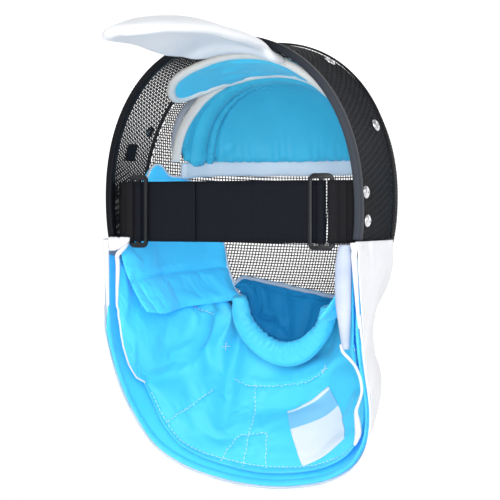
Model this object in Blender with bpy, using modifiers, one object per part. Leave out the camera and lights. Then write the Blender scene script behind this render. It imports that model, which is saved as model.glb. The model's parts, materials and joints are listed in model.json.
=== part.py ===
"""Fencing mask: black wire net, white padded bib, blue lining and pads, rear elastic, white tongue.

The face looks towards -Y and the open back towards +Y.  Lengths in the tables are millimetres.
Heights are measured from the middle of the rear elastic and depths forward from the rear rim,
and everything is then placed so that the head touches the crown pad at the origin.
"""
import math

import bmesh
import bpy
from mathutils import Vector

# ---------------------------------------------------------------- driving dimensions (mm)
RIM_HALF = 115.3            # half width of the net at the rear rim
SEAM_HALF = 118.5           # half width of the net at the seam of hood and face
RIM_TOP = 136.0             # height of the net above the elastic, at the rim
SEAM_TOP = 138.0            # the same at the seam
JAW_DROP = 127.0            # lower half axis of the net's outline
ROUND = 2.18                # how square the outline is, 2 being an ellipse
SEAM_DEPTH = 64.0           # depth of the seam ahead of the rim, at the elastic's height
SEAM_RAKE = 0.08            # how much deeper the seam lies for each unit of height
RIM_RAKE = 0.044            # how much the rim leans back for each unit of height
FACE_DEPTH = 112.0          # how far the face net bulges beyond the seam
FACE_CUT = 34.0             # how far behind the seam the face's dome has its middle
NET = 1.8                   # thickness of the woven net
JAW_REAR = -34.0            # lower end of the net at the rim
JAW_SEAM = -85.0            # lower end of the net at the seam
JAW_CHIN = -92.0            # lower end of the net under the chin
GAP = 0.3                   # clearance between touching pieces
DOME = (1.0 - (FACE_CUT / (FACE_CUT + FACE_DEPTH)) ** ROUND) ** (-1 / ROUND)
BIB_TOP = -28.0             # height at which the bib begins behind the seam
STRAP_TOP = 20.0            # upper edge of the rear elastic
STRAP_WIDTH = 50.0
WEB = 1.6                   # thickness of the elastic and the webbing
BUCKLE_X = 84.0             # middle of each buckle
BUCKLE_Y = 1.5
BUCKLE_TURN = 13.5          # degrees, outer side forward
BUCKLE_SIZE = (21.0, 2.6, 61.0)
TONGUE_THICK = 9.0
CONTACT = (0.0, -50.0, 115.0)   # where the crown of the head touches

# rear and lower edge of the bib: height, half width, depth
BIB_EDGE = [
    {"z": -107.0, "half": 117.0, "deep": 0.0},
    {"z": -134.0, "half": 117.0, "deep": 10.0},
    {"z": -160.0, "half": 115.5, "deep": 22.5},
    {"z": -188.0, "half": 108.0, "deep": 36.0},
    {"z": -206.0, "half": 97.0, "deep": 42.0},
    {"z": -218.0, "half": 84.0, "deep": 46.0},
    {"z": -233.0, "half": 52.0, "deep": 53.0},
    {"z": -240.0, "half": 0.0, "deep": 57.0},
]
# middle line of the tongue's top from the rim backwards, and its half width there
TONGUE_LINE = [
    {"back": -4.0, "top": 131.6, "half": 46.0, "drop": 11.4, "mid": -0.5},
    {"back": 8.5, "top": 132.2, "half": 43.0, "drop": 11.4, "mid": -1.0},
    {"back": 20.0, "top": 137.0, "half": 41.0, "drop": 11.4, "mid": -2.5},
    {"back": 36.0, "top": 139.0, "half": 39.5, "drop": 11.0, "mid": -3.6},
    {"back": 62.0, "top": 139.6, "half": 37.5, "drop": 10.6, "mid": -4.5},
    {"back": 100.0, "top": 140.8, "half": 33.5, "drop": 10.3, "mid": -4.8},
    {"back": 140.0, "top": 136.0, "half": 23.5, "drop": 7.2, "mid": -5.0},
    {"back": 166.0, "top": 129.2, "half": 12.0, "drop": 2.6, "mid": -5.5},
    {"back": 180.0, "top": 125.4, "half": 7.0, "drop": 0.9, "mid": -6.0},
    {"back": 184.5, "top": 124.2, "half": 3.0, "drop": 0.3, "mid": -6.0},
]

NET_BLACK = ("net_black", (0.012, 0.012, 0.014), 0.45, 0.6)
TRIM_GREY = ("trim_grey", (0.055, 0.058, 0.065), 0.45, 0.0)
TRIM_BLACK = ("trim_black", (0.015, 0.015, 0.018), 0.5, 0.0)
RIVET_STEEL = ("rivet_steel", (0.78, 0.78, 0.80), 0.28, 1.0)
ELASTIC = ("elastic_black", (0.014, 0.015, 0.022), 0.85, 0.0)
PLASTIC = ("plastic_black", (0.010, 0.010, 0.012), 0.4, 0.0)
WHITE = ("cloth_white", (0.86, 0.88, 0.92), 0.6, 0.0)
BLUE = ("satin_blue", (0.10, 0.55, 0.90), 0.45, 0.0)
LABEL = ("label_white", (0.82, 0.88, 0.93), 0.5, 0.0)


# ---------------------------------------------------------------- scene helpers
for old in list(bpy.data.objects):
    bpy.data.objects.remove(old, do_unlink=True)

mask = bpy.data.collections.new("fencing_mask")
bpy.context.scene.collection.children.link(mask)
cutters = bpy.data.collections.new("cutters")
bpy.context.scene.collection.children.link(cutters)
finishes = {}


def finish(spec):
    name, colour, rough, metal = spec
    if name not in finishes:
        mat = bpy.data.materials.new(name)
        mat.use_nodes = True
        shader = mat.node_tree.nodes["Principled BSDF"]
        shader.inputs["Base Color"].default_value = (*colour, 1.0)
        shader.inputs["Roughness"].default_value = rough
        shader.inputs["Metallic"].default_value = metal
        finishes[name] = mat
    return finishes[name]


def place(p):
    """Millimetres from the rim's middle to metres from the head's contact."""
    return Vector(((p[0] - CONTACT[0]) * 0.001, (p[1] - CONTACT[1]) * 0.001,
                   (p[2] - CONTACT[2]) * 0.001))


def add_object(name, bm, spec, smooth=True, where=None):
    mesh = bpy.data.meshes.new(name)
    bm.to_mesh(mesh)
    bm.free()
    obj = bpy.data.objects.new(name, mesh)
    (where or mask).objects.link(obj)
    mesh.materials.append(finish(spec))
    if smooth:
        mesh.shade_smooth()
        mesh.set_sharp_from_angle(angle=math.radians(40))
    return obj


def thicken(obj, thick, even=False):
    mod = obj.modifiers.new("thickness", "SOLIDIFY")
    mod.thickness = thick * 0.001
    mod.offset = 0.0
    mod.use_even_offset = even
    return mod


def sheet(name, fn, nu, nv, thick, spec, even=False):
    """Grid whose points follow fn(u, v), both from 0 to 1, given a thickness."""
    bm = bmesh.new()
    bmesh.ops.create_grid(bm, x_segments=nu, y_segments=nv, size=0.5)
    for vert in bm.verts:
        vert.co = place(fn(vert.co.x + 0.5, vert.co.y + 0.5))
    obj = add_object(name, bm, spec)
    thicken(obj, thick, even)
    return obj


def tube(name, points, radius, spec, closed=False):
    """Round cord through the points (mm)."""
    curve = bpy.data.curves.new(name, "CURVE")
    curve.dimensions = "3D"
    curve.bevel_depth = radius * 0.001
    curve.bevel_resolution = 2
    curve.use_fill_caps = True
    spline = curve.splines.new("POLY")
    spline.points.add(len(points) - 1)
    for point, p in zip(spline.points, points):
        point.co = (*place(p), 1.0)
    spline.use_cyclic_u = closed
    obj = bpy.data.objects.new(name, curve)
    mask.objects.link(obj)
    curve.materials.append(finish(spec))
    return obj


def lerp(a, b, t):
    return a + (b - a) * t


def smooth(t):
    t = min(1.0, max(0.0, t))
    return t * t * (3.0 - 2.0 * t)


def read(table, column, t):
    """Smooth value of a table's column at t from 0 (first row) to 1 (last row)."""
    rows = len(table) - 1
    x = min(max(t, 0.0), 1.0) * rows
    i = min(int(x), rows - 1)
    f = x - i
    v = [table[min(max(k, 0), rows)][column] for k in (i - 1, i, i + 1, i + 2)]
    m1 = (v[2] - v[0]) * 0.5
    m2 = (v[3] - v[1]) * 0.5
    return ((2 * f ** 3 - 3 * f ** 2 + 1) * v[1] + (f ** 3 - 2 * f ** 2 + f) * m1
            + (-2 * f ** 3 + 3 * f ** 2) * v[2] + (f ** 3 - f ** 2) * m2)


# ---------------------------------------------------------------- the basket's surface
def outline(t, half, top, off=0.0):
    """Point of the net's outline at angle t, moved outwards by off."""
    c, s = math.cos(t), math.sin(t)
    tall = top if s > 0 else JAW_DROP
    x = half * math.copysign(abs(c) ** (2 / ROUND), c)
    z = tall * math.copysign(abs(s) ** (2 / ROUND), s)
    gx = math.copysign(abs(x / half) ** (ROUND - 1) / half, x)
    gz = math.copysign(abs(z / tall) ** (ROUND - 1) / tall, z)
    g = math.hypot(gx, gz)
    return x + off * gx / g, z + off * gz / g


def angle_at(z):
    """Outline angle on the left side at a height below the elastic's middle."""
    return -math.asin((abs(z) / JAW_DROP) ** (ROUND / 2))


def depth_y(share, z):
    """Y at a share of the way from the rim (0) to the seam (1)."""
    rim = RIM_RAKE * z
    seam = -(SEAM_DEPTH + SEAM_RAKE * z)
    return lerp(rim, seam, share)


def band(u, share, off=0.0, low=None, back=0.0):
    """Hood band: u from 0 (left jaw) over the crown to 1 (right jaw)."""
    low = lerp(JAW_REAR, JAW_SEAM, share) if low is None else low
    start = angle_at(low)
    t = lerp(start, math.pi - start, u)
    x, z = outline(t, lerp(RIM_HALF, SEAM_HALF, share), lerp(RIM_TOP, SEAM_TOP, share), off)
    return x, depth_y(share, z) + back, z


def face(x, z, off=0.0):
    """Y of the face net in front of a point, its surface shrunk by -off."""
    half, tall = SEAM_HALF * DOME + off, (SEAM_TOP if z > 0 else JAW_DROP) * DOME + off
    inside = max(1.0 - abs(x / half) ** ROUND - abs(z / tall) ** ROUND, 0.0)
    middle = SEAM_DEPTH - FACE_CUT + SEAM_RAKE * z
    return -middle - (FACE_DEPTH + FACE_CUT + off) * inside ** (1 / ROUND)


def wall(deep, z, off=0.0):
    """Half width of the basket at a depth and a height, shrunk by -off."""
    seam = SEAM_DEPTH + SEAM_RAKE * z
    share = min(max(deep / seam, 0.0), 1.0)
    tall = lerp(RIM_TOP, SEAM_TOP, share) if z > 0 else JAW_DROP
    half = lerp(RIM_HALF, SEAM_HALF, share)
    ahead = 0.0
    if deep > seam:
        half, tall = half * DOME, tall * DOME
        ahead = (deep - seam + FACE_CUT) / (FACE_DEPTH + FACE_CUT + off)
    inside = max(0.0, 1.0 - abs(z / (tall + off)) ** ROUND - ahead ** ROUND)
    return (half + off) * inside ** (1 / ROUND)


# ---------------------------------------------------------------- net, seam strip, rim
sheet("side_mesh", lambda u, v: band(u, lerp(0.002, 0.996, v), -NET / 2), 56, 3, NET, NET_BLACK)

bm = bmesh.new()
bmesh.ops.create_uvsphere(bm, u_segments=40, v_segments=18, radius=1.0)
for vert in bm.verts:
    x, y, z = vert.co
    vert.co = (x, -z, y)
for vert in bm.verts:
    x, y, z = vert.co
    flat = [math.copysign(abs(k) ** (2 / ROUND), k) if abs(k) > 1e-9 else 0.0 for k in (x, y, z)]
    size = sum(abs(k) ** ROUND for k in flat) ** (1 / ROUND)
    x, y, z = (k / size for k in flat)
    x *= SEAM_HALF * DOME - NET / 2
    z *= (SEAM_TOP if z > 0 else JAW_DROP) * DOME - NET / 2
    y *= FACE_DEPTH + FACE_CUT - NET / 2
    vert.co = (x, y - SEAM_DEPTH + FACE_CUT - SEAM_RAKE * z, z)
bmesh.ops.bisect_plane(bm, geom=bm.verts[:] + bm.edges[:] + bm.faces[:], dist=1e-4,
                       plane_co=(0, -SEAM_DEPTH - GAP / 2, 0), plane_no=(0, 1, SEAM_RAKE),
                       clear_outer=True)
bmesh.ops.bisect_plane(bm, geom=bm.verts[:] + bm.edges[:] + bm.faces[:], dist=1e-4,
                       plane_co=(0, -SEAM_DEPTH, JAW_SEAM),
                       plane_no=(0, -(JAW_SEAM - JAW_CHIN) / 80.0, -1), clear_outer=True)
for vert in bm.verts:
    vert.co = place(vert.co)
bmesh.ops.recalc_face_normals(bm, faces=bm.faces[:])
front = add_object("front_mesh", bm, NET_BLACK)
thicken(front, NET)


SEAM_BEAD = 2.0             # half width of the bead that covers the seam


def seam_strip(u, v):
    x, y, z = band(u, 1.0, GAP + 1.35, low=-26.0)
    return x, y + lerp(SEAM_BEAD, -SEAM_BEAD, v), z


sheet("seam_strip", seam_strip, 48, 1, 2.6, TRIM_BLACK)

TRIM_PROFILE = [            # channel round the rim: offset outwards, distance behind the net
    {"off": 1.35, "back": -5.6},
    {"off": 1.35, "back": 1.0},
    {"off": -3.15, "back": 1.0},
    {"off": -3.15, "back": -5.0},
]


def rim_trim(u, v):
    row = TRIM_PROFILE[round(v * 3)]
    return band(u, 0.0, row["off"], low=-27.0, back=row["back"])


sheet("rim_trim", rim_trim, 56, 3, 1.2, TRIM_GREY, even=True)


# ---------------------------------------------------------------- rivets
RIVETS = [                  # name, height, share of the way to the seam, how far proud, radius
    {"name": "rivet_crown", "z": 119.0, "share": 0.80, "proud": 0.0, "radius": 5.2},
    {"name": "rivet_temple", "z": 65.0, "share": 0.80, "proud": 0.0, "radius": 5.2},
    {"name": "rivet_strap_upper", "z": 10.5, "share": 0.19, "proud": 0.0, "radius": 5.8},
    {"name": "rivet_strap_lower", "z": -12.0, "share": 0.23, "proud": 0.0, "radius": 5.8},
]


def rivet(row, side, suffix):
    z = row["z"]
    half = lerp(RIM_HALF, SEAM_HALF, row["share"])
    top = lerp(RIM_TOP, SEAM_TOP, row["share"])
    t = math.asin((z / top) ** (ROUND / 2)) if z > 0 else angle_at(z)
    x, zz = outline(t, half, top, GAP)
    gx = (abs(x) / half) ** (ROUND - 1) / half
    gz = math.copysign((abs(zz) / top) ** (ROUND - 1) / top, zz)
    bm = bmesh.new()
    bmesh.ops.create_cone(bm, cap_ends=True, segments=16, radius1=row["radius"] * 0.001,
                          radius2=row["radius"] * 0.00055, depth=0.0024)
    obj = add_object(row["name"] + suffix, bm, RIVET_STEEL)
    turn = Vector((side * gx, 0.0, gz)).normalized()
    obj.rotation_euler = turn.to_track_quat("Z", "Y").to_euler()
    middle = place((side * x, depth_y(row["share"], zz), zz)) + turn * (0.0012 + 0.0001)
    obj.location = middle
    return obj


for line in RIVETS:
    rivet(line, 1, "_left")
    rivet(line, -1, "_right")


# ---------------------------------------------------------------- bib and its lining
BIB_COLUMNS = 24            # columns of the bib on each side of its middle
DROP_REAR = 15 / 24         # where its upper edge turns down in front of the seam
DROP_FRONT = 11 / 24        # and where it levels out towards the chin
LEVEL_DEPTH, LEVEL_Z = 92.0, -80.0
CHIN_Z = -90.0
LINING_GAP = 7.6            # how far the lining lies inside the bib
HEM = 2.6                   # radius of the padded hem inside the bib's edge
WAIST = {"z": -98.0, "deep": 25.0, "spread": 0.18, "tall": 30.0}   # bib drawn in at the throat


def jaw_height(deep):
    """Lower boundary of the net at a depth."""
    if deep < SEAM_DEPTH:
        return lerp(JAW_REAR, JAW_SEAM, max(deep, 0.0) / SEAM_DEPTH)
    return lerp(JAW_SEAM, JAW_CHIN, min((deep - SEAM_DEPTH) / 80.0, 1.0))


def bib_top(a):
    """Upper edge of the bib, a from 0 (middle of the front) to 1 (rear edge)."""
    if a >= DROP_FRONT:
        rear = max(0.0, (a - DROP_REAR) / (1.0 - DROP_REAR))
        drop = max(0.0, (DROP_REAR - a) / (DROP_REAR - DROP_FRONT))
        deep = lerp(62.0, -7.0, rear) + (LEVEL_DEPTH - 62.0) * drop
        z = lerp(BIB_TOP, LEVEL_Z, drop)
        return wall(max(deep, 0.0), z, 1.4), -deep, z
    f = a / DROP_FRONT
    z = lerp(CHIN_Z, LEVEL_Z, f)
    ring = (1.0 - (abs(z) / (JAW_DROP * DOME)) ** ROUND) ** (1 / ROUND)
    back = SEAM_DEPTH - FACE_CUT + SEAM_RAKE * z
    long = (FACE_DEPTH + FACE_CUT + 1.4) * ring
    bend = f * math.acos(((LEVEL_DEPTH - back) / long) ** (ROUND / 2))
    x = (SEAM_HALF * DOME + 1.4) * ring * math.sin(bend) ** (2 / ROUND)
    return x, -back - long * math.cos(bend) ** (2 / ROUND), z


def bib(u, v):
    """Bib: u from 0 (left rear edge) round the front to 1 (right rear edge), v down."""
    a = abs(2.0 * u - 1.0)
    side = 1.0 if u < 0.5 else -1.0
    top = Vector(bib_top(a))
    low = Vector((read(BIB_EDGE, "half", 1.0 - a), -read(BIB_EDGE, "deep", 1.0 - a),
                  read(BIB_EDGE, "z", 1.0 - a)))
    p = top.lerp(low, v)
    bulge = 4.0 * v * (1.0 - v)
    p.y -= bulge * 16.0 * (1.0 - a * a)
    p.x += bulge * 5.0 * math.sin(a * math.pi) ** 2
    pull = math.exp(-((a - 0.55) / WAIST["spread"]) ** 2
                    - ((p.z - WAIST["z"]) / WAIST["tall"]) ** 2)
    p.x -= WAIST["deep"] * smooth(v / 0.12) * pull
    if p.z > jaw_height(-p.y) - 4.0:
        p.x = max(p.x, wall(-p.y, p.z, 1.4 + 2.2 * smooth(v / 0.1)))
    return Vector((p.x * side, p.y, p.z))


def bib_inside(u, v, inward):
    """The bib's surface moved inwards along its own normal."""
    e = 0.006
    across = bib(min(u + e, 1.0), v) - bib(max(u - e, 0.0), v)
    down = bib(u, min(v + e, 1.0)) - bib(u, max(v - e, 0.0))
    return bib(u, v) - across.cross(down).normalized() * inward


def lining_place(u, v, inward=LINING_GAP):
    """Lining inside the bib, its upper edge just below the net."""
    spread = lerp(0.022, 0.978, u)
    top = bib(spread, 0.0)
    low = bib(spread, 1.0)
    start = (jaw_height(-top.y) - 9.0 - top.z) / (low.z - top.z)
    return bib_inside(spread, lerp(start, 0.955, v), inward)


sheet("bib", bib, 2 * BIB_COLUMNS, 6, 1.8, WHITE)
sheet("bib_lining", lining_place, 40, 6, 1.6, BLUE)


def hem_place(u, v):
    return bib_inside(u, v, 1.1 + GAP + HEM)


side_steps = [0.20, 0.36, 0.52, 0.68, 0.84]
hem = [hem_place(0.0, v) + Vector((0.0, -HEM, 0.0)) for v in side_steps]
hem += [hem_place(i / 30.0, 0.985) for i in range(1, 30)]
hem += [hem_place(1.0, v) + Vector((0.0, -HEM, 0.0)) for v in reversed(side_steps)]
tube("bib_hem", hem, HEM, BLUE)

EDGING = 2.0
EDGE_START = STRAP_TOP - STRAP_WIDTH - 1.5
rear = [lining_place(0.0, v / 12.0) + Vector((-1.6, EDGING + GAP + 0.7, 0.0)) for v in range(10)]
rear = [Vector((rear[0].x - 1.0, rear[0].y, EDGE_START))] + rear[1:]
tube("lining_edging_left", rear, EDGING, WHITE)

FLAP = [                    # white flap on the lining's right edge: height, outer and inner x
    {"z": EDGE_START, "outer": 107.6, "inner": 96.8},
    {"z": -38.0, "outer": 107.6, "inner": 95.5},
    {"z": -46.0, "outer": 107.6, "inner": 92.0},
    {"z": -62.0, "outer": 107.6, "inner": 92.2},
    {"z": -80.0, "outer": 107.4, "inner": 93.5},
    {"z": -98.0, "outer": 107.2, "inner": 97.0},
    {"z": -112.0, "outer": 106.6, "inner": 99.5},
]


def flap(u, v):
    x = lerp(read(FLAP, "outer", u), read(FLAP, "inner", u), v)
    return -x, lerp(-0.6, 2.5, math.sin(v * math.pi)), read(FLAP, "z", u)


sheet("lining_edging_right", flap, 8, 4, 2.4, WHITE)

# woven label on the lining, between columns and rows of the lining's own grid
LABEL_SPAN = {"near": 21 / 40, "far": 26 / 40, "upper": 3 / 6, "lower": 5 / 6}


def label_place(u, v):
    side = lerp(LABEL_SPAN["near"], LABEL_SPAN["far"], u)
    down = lerp(LABEL_SPAN["upper"], LABEL_SPAN["lower"], v)
    return lining_place(side, down, LINING_GAP + 0.8 + GAP + 0.45)


sheet("label", label_place, 5, 2, 0.6, LABEL)

# ---------------------------------------------------------------- chin cup and its roll
ROLL = 9.5                  # radius of the padded roll under the chin
CUP_TOP = -74.0


def roll_middle(t):
    """Middle of the roll, t from 0 (left end) to 1 (right end)."""
    turn = t * math.pi
    return Vector((39.0 * math.cos(turn), -94.0 - 6.0 * math.sin(turn),
                   -86.0 - 44.0 * math.sin(turn)))


def chin_cup(u, v):
    """Cup in front of the roll: v from 0 (upper front edge) to 1 (behind the roll's front)."""
    low = roll_middle(u)
    x = 50.0 * math.cos(u * math.pi)
    top = Vector((x, face(x, CUP_TOP, -15.5), CUP_TOP))
    low = Vector((low.x * 1.08, low.y - ROLL - 2.1, low.z - 3.0))
    p = top.lerp(low, v)
    p.y -= 4.0 * v * (1.0 - v) * 1.0 * math.sin(u * math.pi)
    return p


tube("chin_roll", [roll_middle(i / 16.0) for i in range(17)], ROLL, BLUE)
sheet("chin_cup", chin_cup, 14, 5, 4.0, BLUE)
tube("chin_edging", [chin_cup(0.03 + 0.94 * i / 16.0, 0.0) + Vector((0.0, 0.0, 3.4))
                     for i in range(17)], 2.3, WHITE)

# ---------------------------------------------------------------- cheek pads
PAD = 11.5                  # thickness of a cheek pad
CHEEK_EDGE = [              # depth, upper and lower end of the left pad
    {"deep": 17.0, "top": -36.0, "low": -84.0},
    {"deep": 33.0, "top": -34.0, "low": -89.0},
    {"deep": 46.0, "top": 6.0, "low": -90.0},
    {"deep": 57.0, "top": 32.0, "low": -90.0},
    {"deep": 70.0, "top": 36.0, "low": -89.0},
    {"deep": 83.0, "top": 27.0, "low": -87.0},
    {"deep": 98.0, "top": 25.5, "low": -83.0},
    {"deep": 110.0, "top": 22.0, "low": -77.0},
    {"deep": 120.0, "top": 10.0, "low": -66.0},
]


def cheek(side):
    def fn(u, v):
        deep = read(CHEEK_EDGE, "deep", u)
        z = lerp(read(CHEEK_EDGE, "top", u), read(CHEEK_EDGE, "low", u), v)
        return side * wall(deep, z, -NET - 0.9 - PAD / 2), -deep, z
    return fn


sheet("cheek_pad_left", cheek(1), 10, 8, PAD, BLUE)
sheet("cheek_pad_right", cheek(-1), 10, 8, PAD, BLUE)

# ---------------------------------------------------------------- forehead cap and crown pad
CAP = {"half": 94.5, "deep": 72.0, "tall": 81.0, "middle": 80.5, "height": 36.0, "thick": 12.0}
BINDING = {"low": 26.5, "high": 41.0, "thick": 10.0}


def cap_place(across, up, grow=0.0):
    """Forehead cap: across and up in degrees."""
    m, n = math.radians(across), math.radians(up)
    return ((CAP["half"] + grow) * math.sin(m),
            -CAP["middle"] - (CAP["deep"] + grow) * math.cos(m) * math.cos(n),
            CAP["height"] + (CAP["tall"] + grow) * math.cos(m) * math.sin(n))


def cap_pad(u, v):
    across = lerp(79.0, -79.0, u)
    room = CAP["tall"] * math.cos(math.radians(across))
    start = math.degrees(math.asin(min(0.9, (BINDING["high"] + 1.5 - CAP["height"]) / room)))
    return cap_place(across, lerp(start, 89.0, v))


def cap_binding(u, v):
    x, y, _ = cap_place(lerp(84.0, -84.0, u), 0.0, 0.3)
    return x, y, lerp(BINDING["low"], BINDING["high"], v)


sheet("forehead_pad", cap_pad, 18, 7, CAP["thick"], BLUE)
sheet("forehead_binding", cap_binding, 18, 1, BINDING["thick"], WHITE)

CROWN = {"rear": 20.0, "front": 80.4, "spread": 0.72, "lift_rear": -11.0, "lift_front": -22.5,
         "thick": 8.0}


def crown_place(u, v):
    """Crown pad under the hood: u from left to right, v from the rim forwards."""
    t = math.pi / 2 + lerp(-CROWN["spread"], CROWN["spread"], u)
    deep = lerp(CROWN["rear"], CROWN["front"], v)
    off = lerp(CROWN["lift_rear"], CROWN["lift_front"], v)
    x, z = outline(t, RIM_HALF, RIM_TOP, off)
    return x, -deep, z


sheet("crown_pad", crown_place, 16, 5, CROWN["thick"], BLUE)

# ---------------------------------------------------------------- tongue at the back of the head
TONGUE_ROLL = 4.1           # degrees, its left edge lower


def tongue(u, v):
    back = read(TONGUE_LINE, "back", v)
    half = read(TONGUE_LINE, "half", v)
    s = lerp(1.0, -1.0, u)
    z = read(TONGUE_LINE, "top", v) - read(TONGUE_LINE, "drop", v) * s * s
    z -= math.tan(math.radians(TONGUE_ROLL)) * half * s * smooth(back / 60.0)
    return read(TONGUE_LINE, "mid", v) + half * s, back, z - TONGUE_THICK / 2


sheet("tongue", tongue, 10, 18, TONGUE_THICK, WHITE)

# ---------------------------------------------------------------- elastic, buckles, webbing
STRAP_MID = STRAP_TOP - STRAP_WIDTH / 2


def buckle(name, side):
    w, t, h = BUCKLE_SIZE
    bm = bmesh.new()
    bmesh.ops.create_cube(bm, size=1.0)
    for vert in bm.verts:
        vert.co = (vert.co.x * w * 0.001, vert.co.y * t * 0.001, vert.co.z * h * 0.001)
    bmesh.ops.bevel(bm, geom=bm.edges[:], offset=0.0006, segments=1, affect="EDGES")
    frame = add_object(name, bm, PLASTIC, smooth=False)
    turn = math.radians(-BUCKLE_TURN * side)
    at = place((side * BUCKLE_X, BUCKLE_Y, STRAP_MID))
    for i, shift in enumerate((-4.5, 4.5)):
        cut = bmesh.new()
        bmesh.ops.create_cube(cut, size=1.0)
        for vert in cut.verts:
            vert.co = (vert.co.x * 0.0054, vert.co.y * 0.02, vert.co.z * 0.0525)
            vert.co.x += shift * 0.001
        cutter = add_object(name + "_slot_%d" % i, cut, PLASTIC, smooth=False, where=cutters)
        cutter.hide_render = True
        cutter.display_type = "WIRE"
        cutter.location = at
        cutter.rotation_euler = (0.0, 0.0, turn)
        mod = frame.modifiers.new("slot", "BOOLEAN")
        mod.operation = "DIFFERENCE"
        mod.object = cutter
    frame.location = at
    frame.rotation_euler = (0.0, 0.0, turn)
    return frame


def in_buckle(side, along, out):
    """Plan point of a buckle: along its width outwards, out towards the back."""
    turn = math.radians(-BUCKLE_TURN * side)
    ax, ay = side * math.cos(turn), side * math.sin(turn)
    return (side * BUCKLE_X + ax * along - math.sin(turn) * out,
            BUCKLE_Y + ay * along + math.cos(turn) * out)


def ribbon(name, plan, rows, spec):
    """Webbing on edge along a path seen from above; a point may depend on the height."""
    def fn(u, v):
        z = STRAP_MID + (v - 0.5) * STRAP_WIDTH
        point = plan[round(u * (len(plan) - 1))]
        x, y = point(z) if callable(point) else point
        return x, y, z
    return sheet(name, fn, len(plan) - 1, rows, WEB, spec, even=True)


buckle("buckle_left", 1)
buckle("buckle_right", -1)
# middle lines of the webbing in a buckle: along the buckle's width, out from its middle
LAYER = GAP + WEB / 2 + BUCKLE_SIZE[1] / 2      # first layer against the bars
UNDER = LAYER + WEB + 0.4                       # second layer under the first
TURN = 1.8 + GAP + WEB / 2                      # each side of the middle bar


def round_bar(side):
    """Elastic from the first layer, round the middle bar, to the second layer."""
    steps = [(-8.5, -LAYER), (-TURN, -LAYER), (-TURN, LAYER), (TURN, LAYER), (TURN, -UNDER),
             (-8.5, -UNDER)]
    return [in_buckle(side, a, b) for a, b in steps]


OUTER, INNER = 2.0, 0.0     # y of the two layers between the buckles
left_end = [(29.0, OUTER), (50.0, OUTER), (68.0, OUTER)] + round_bar(1)
right_end = round_bar(-1) + [(-68.0, INNER), (-48.0, INNER)]
middle = [(68.0, INNER), (50.0, INNER), (25.0, INNER), (-15.0, OUTER), (-45.0, OUTER),
          (-68.0, OUTER)]
ribbon("strap", left_end + middle + right_end, 1, ELASTIC)


def along_wall(side, deep):
    return lambda z: (side * wall(deep, z, -(NET + GAP + WEB / 2 + 0.5)), -deep)


def anchor(name, side):
    steps = [(20.0, -LAYER), (11.0, -LAYER), (6.1, -LAYER), (6.1, LAYER), (12.0, LAYER),
             (15.0, -LAYER + 2.4), (20.0, -LAYER + 2.0)]
    plan = [along_wall(side, 28.0), along_wall(side, 20.0), along_wall(side, 13.5),
            (side * 106.6, -7.4)] + [in_buckle(side, a, b) for a, b in steps]
    ribbon(name, plan, 4, ELASTIC)


anchor("strap_anchor_left", 1)
anchor("strap_anchor_right", -1)

# ---------------------------------------------------------------- patch inside the left of the net


def patch(u, v):
    deep, z = lerp(18.0, 34.0, u), lerp(53.0, 38.5, v)
    return wall(deep, z, -(NET + GAP + 0.8)), -deep, z


sheet("net_patch", patch, 3, 3, 1.2, TRIM_BLACK)
bpy.context.view_layer.update()
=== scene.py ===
# %% [markdown]
# # A fencing mask, seen from behind
# A fencing mask is a cage of woven steel wire with a soft lining.  The hood band goes over the
# head, the domed face sits in front of it, and a padded bib hangs below to guard the throat.
# The CAD model is the fixed frame: it gives every piece its place and size.  This lesson dresses
# it with real wires, padded cloth, seams, stitches and finishes.
# All lengths in the tables are millimetres, measured from the middle of the rear elastic at the
# rim, with +X to the wearer's left, -Y forward into the face, and +Z up.

# %% Load the frame
import json
import math

import bmesh
import bpy
import numpy as np
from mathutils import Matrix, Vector, noise

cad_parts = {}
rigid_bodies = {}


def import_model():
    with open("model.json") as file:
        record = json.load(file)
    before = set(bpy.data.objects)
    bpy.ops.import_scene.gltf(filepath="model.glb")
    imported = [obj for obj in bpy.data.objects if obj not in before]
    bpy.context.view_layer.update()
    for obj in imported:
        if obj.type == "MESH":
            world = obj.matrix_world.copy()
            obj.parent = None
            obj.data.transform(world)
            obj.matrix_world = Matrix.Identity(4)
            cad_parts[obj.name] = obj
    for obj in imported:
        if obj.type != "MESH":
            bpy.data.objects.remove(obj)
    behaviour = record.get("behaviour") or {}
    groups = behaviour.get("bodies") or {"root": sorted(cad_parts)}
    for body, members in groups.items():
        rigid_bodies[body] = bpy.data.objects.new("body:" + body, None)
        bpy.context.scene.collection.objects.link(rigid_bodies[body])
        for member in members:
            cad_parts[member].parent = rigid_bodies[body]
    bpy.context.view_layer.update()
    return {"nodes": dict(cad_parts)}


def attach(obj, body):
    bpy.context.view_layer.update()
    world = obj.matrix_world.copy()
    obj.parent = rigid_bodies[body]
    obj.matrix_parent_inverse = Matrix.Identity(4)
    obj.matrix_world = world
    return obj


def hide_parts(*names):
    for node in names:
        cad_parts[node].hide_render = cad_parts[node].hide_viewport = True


for old in list(bpy.data.objects):
    bpy.data.objects.remove(old, do_unlink=True)
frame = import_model()
BODY = "root"
print("CAD nodes:", len(frame["nodes"]))

# %% [markdown]
# ## Camera, light and floor
# Product photographs of this kind use a long lens and a white room.  The camera stands behind
# the mask, 28 degrees round to the wearer's right and level with the elastic.  The room is a
# pale sweep that curves from floor to wall, so that no horizon shows, with large soft lamps.
# The room looks brighter to the camera than it shines on the mask, which keeps the cloth rich.

# %% Camera
CONTACT = (0.0, -50.0, 115.0)       # where the crown of the head touches, the frame's origin
VIEW_TURN = math.radians(28.0)
VIEW_FAR = 1120.0
LENS = 99.1
PICTURE = 500.0                     # the picture's side in pixels
MIDDLE_X, MIDDLE_Y = 227.6, 205.5   # where the rim's middle lies in it


def place(p):
    """Millimetres from the rim's middle to metres in the frame."""
    return Vector(((p[0] - CONTACT[0]) * 0.001, (p[1] - CONTACT[1]) * 0.001,
                   (p[2] - CONTACT[2]) * 0.001))


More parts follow.
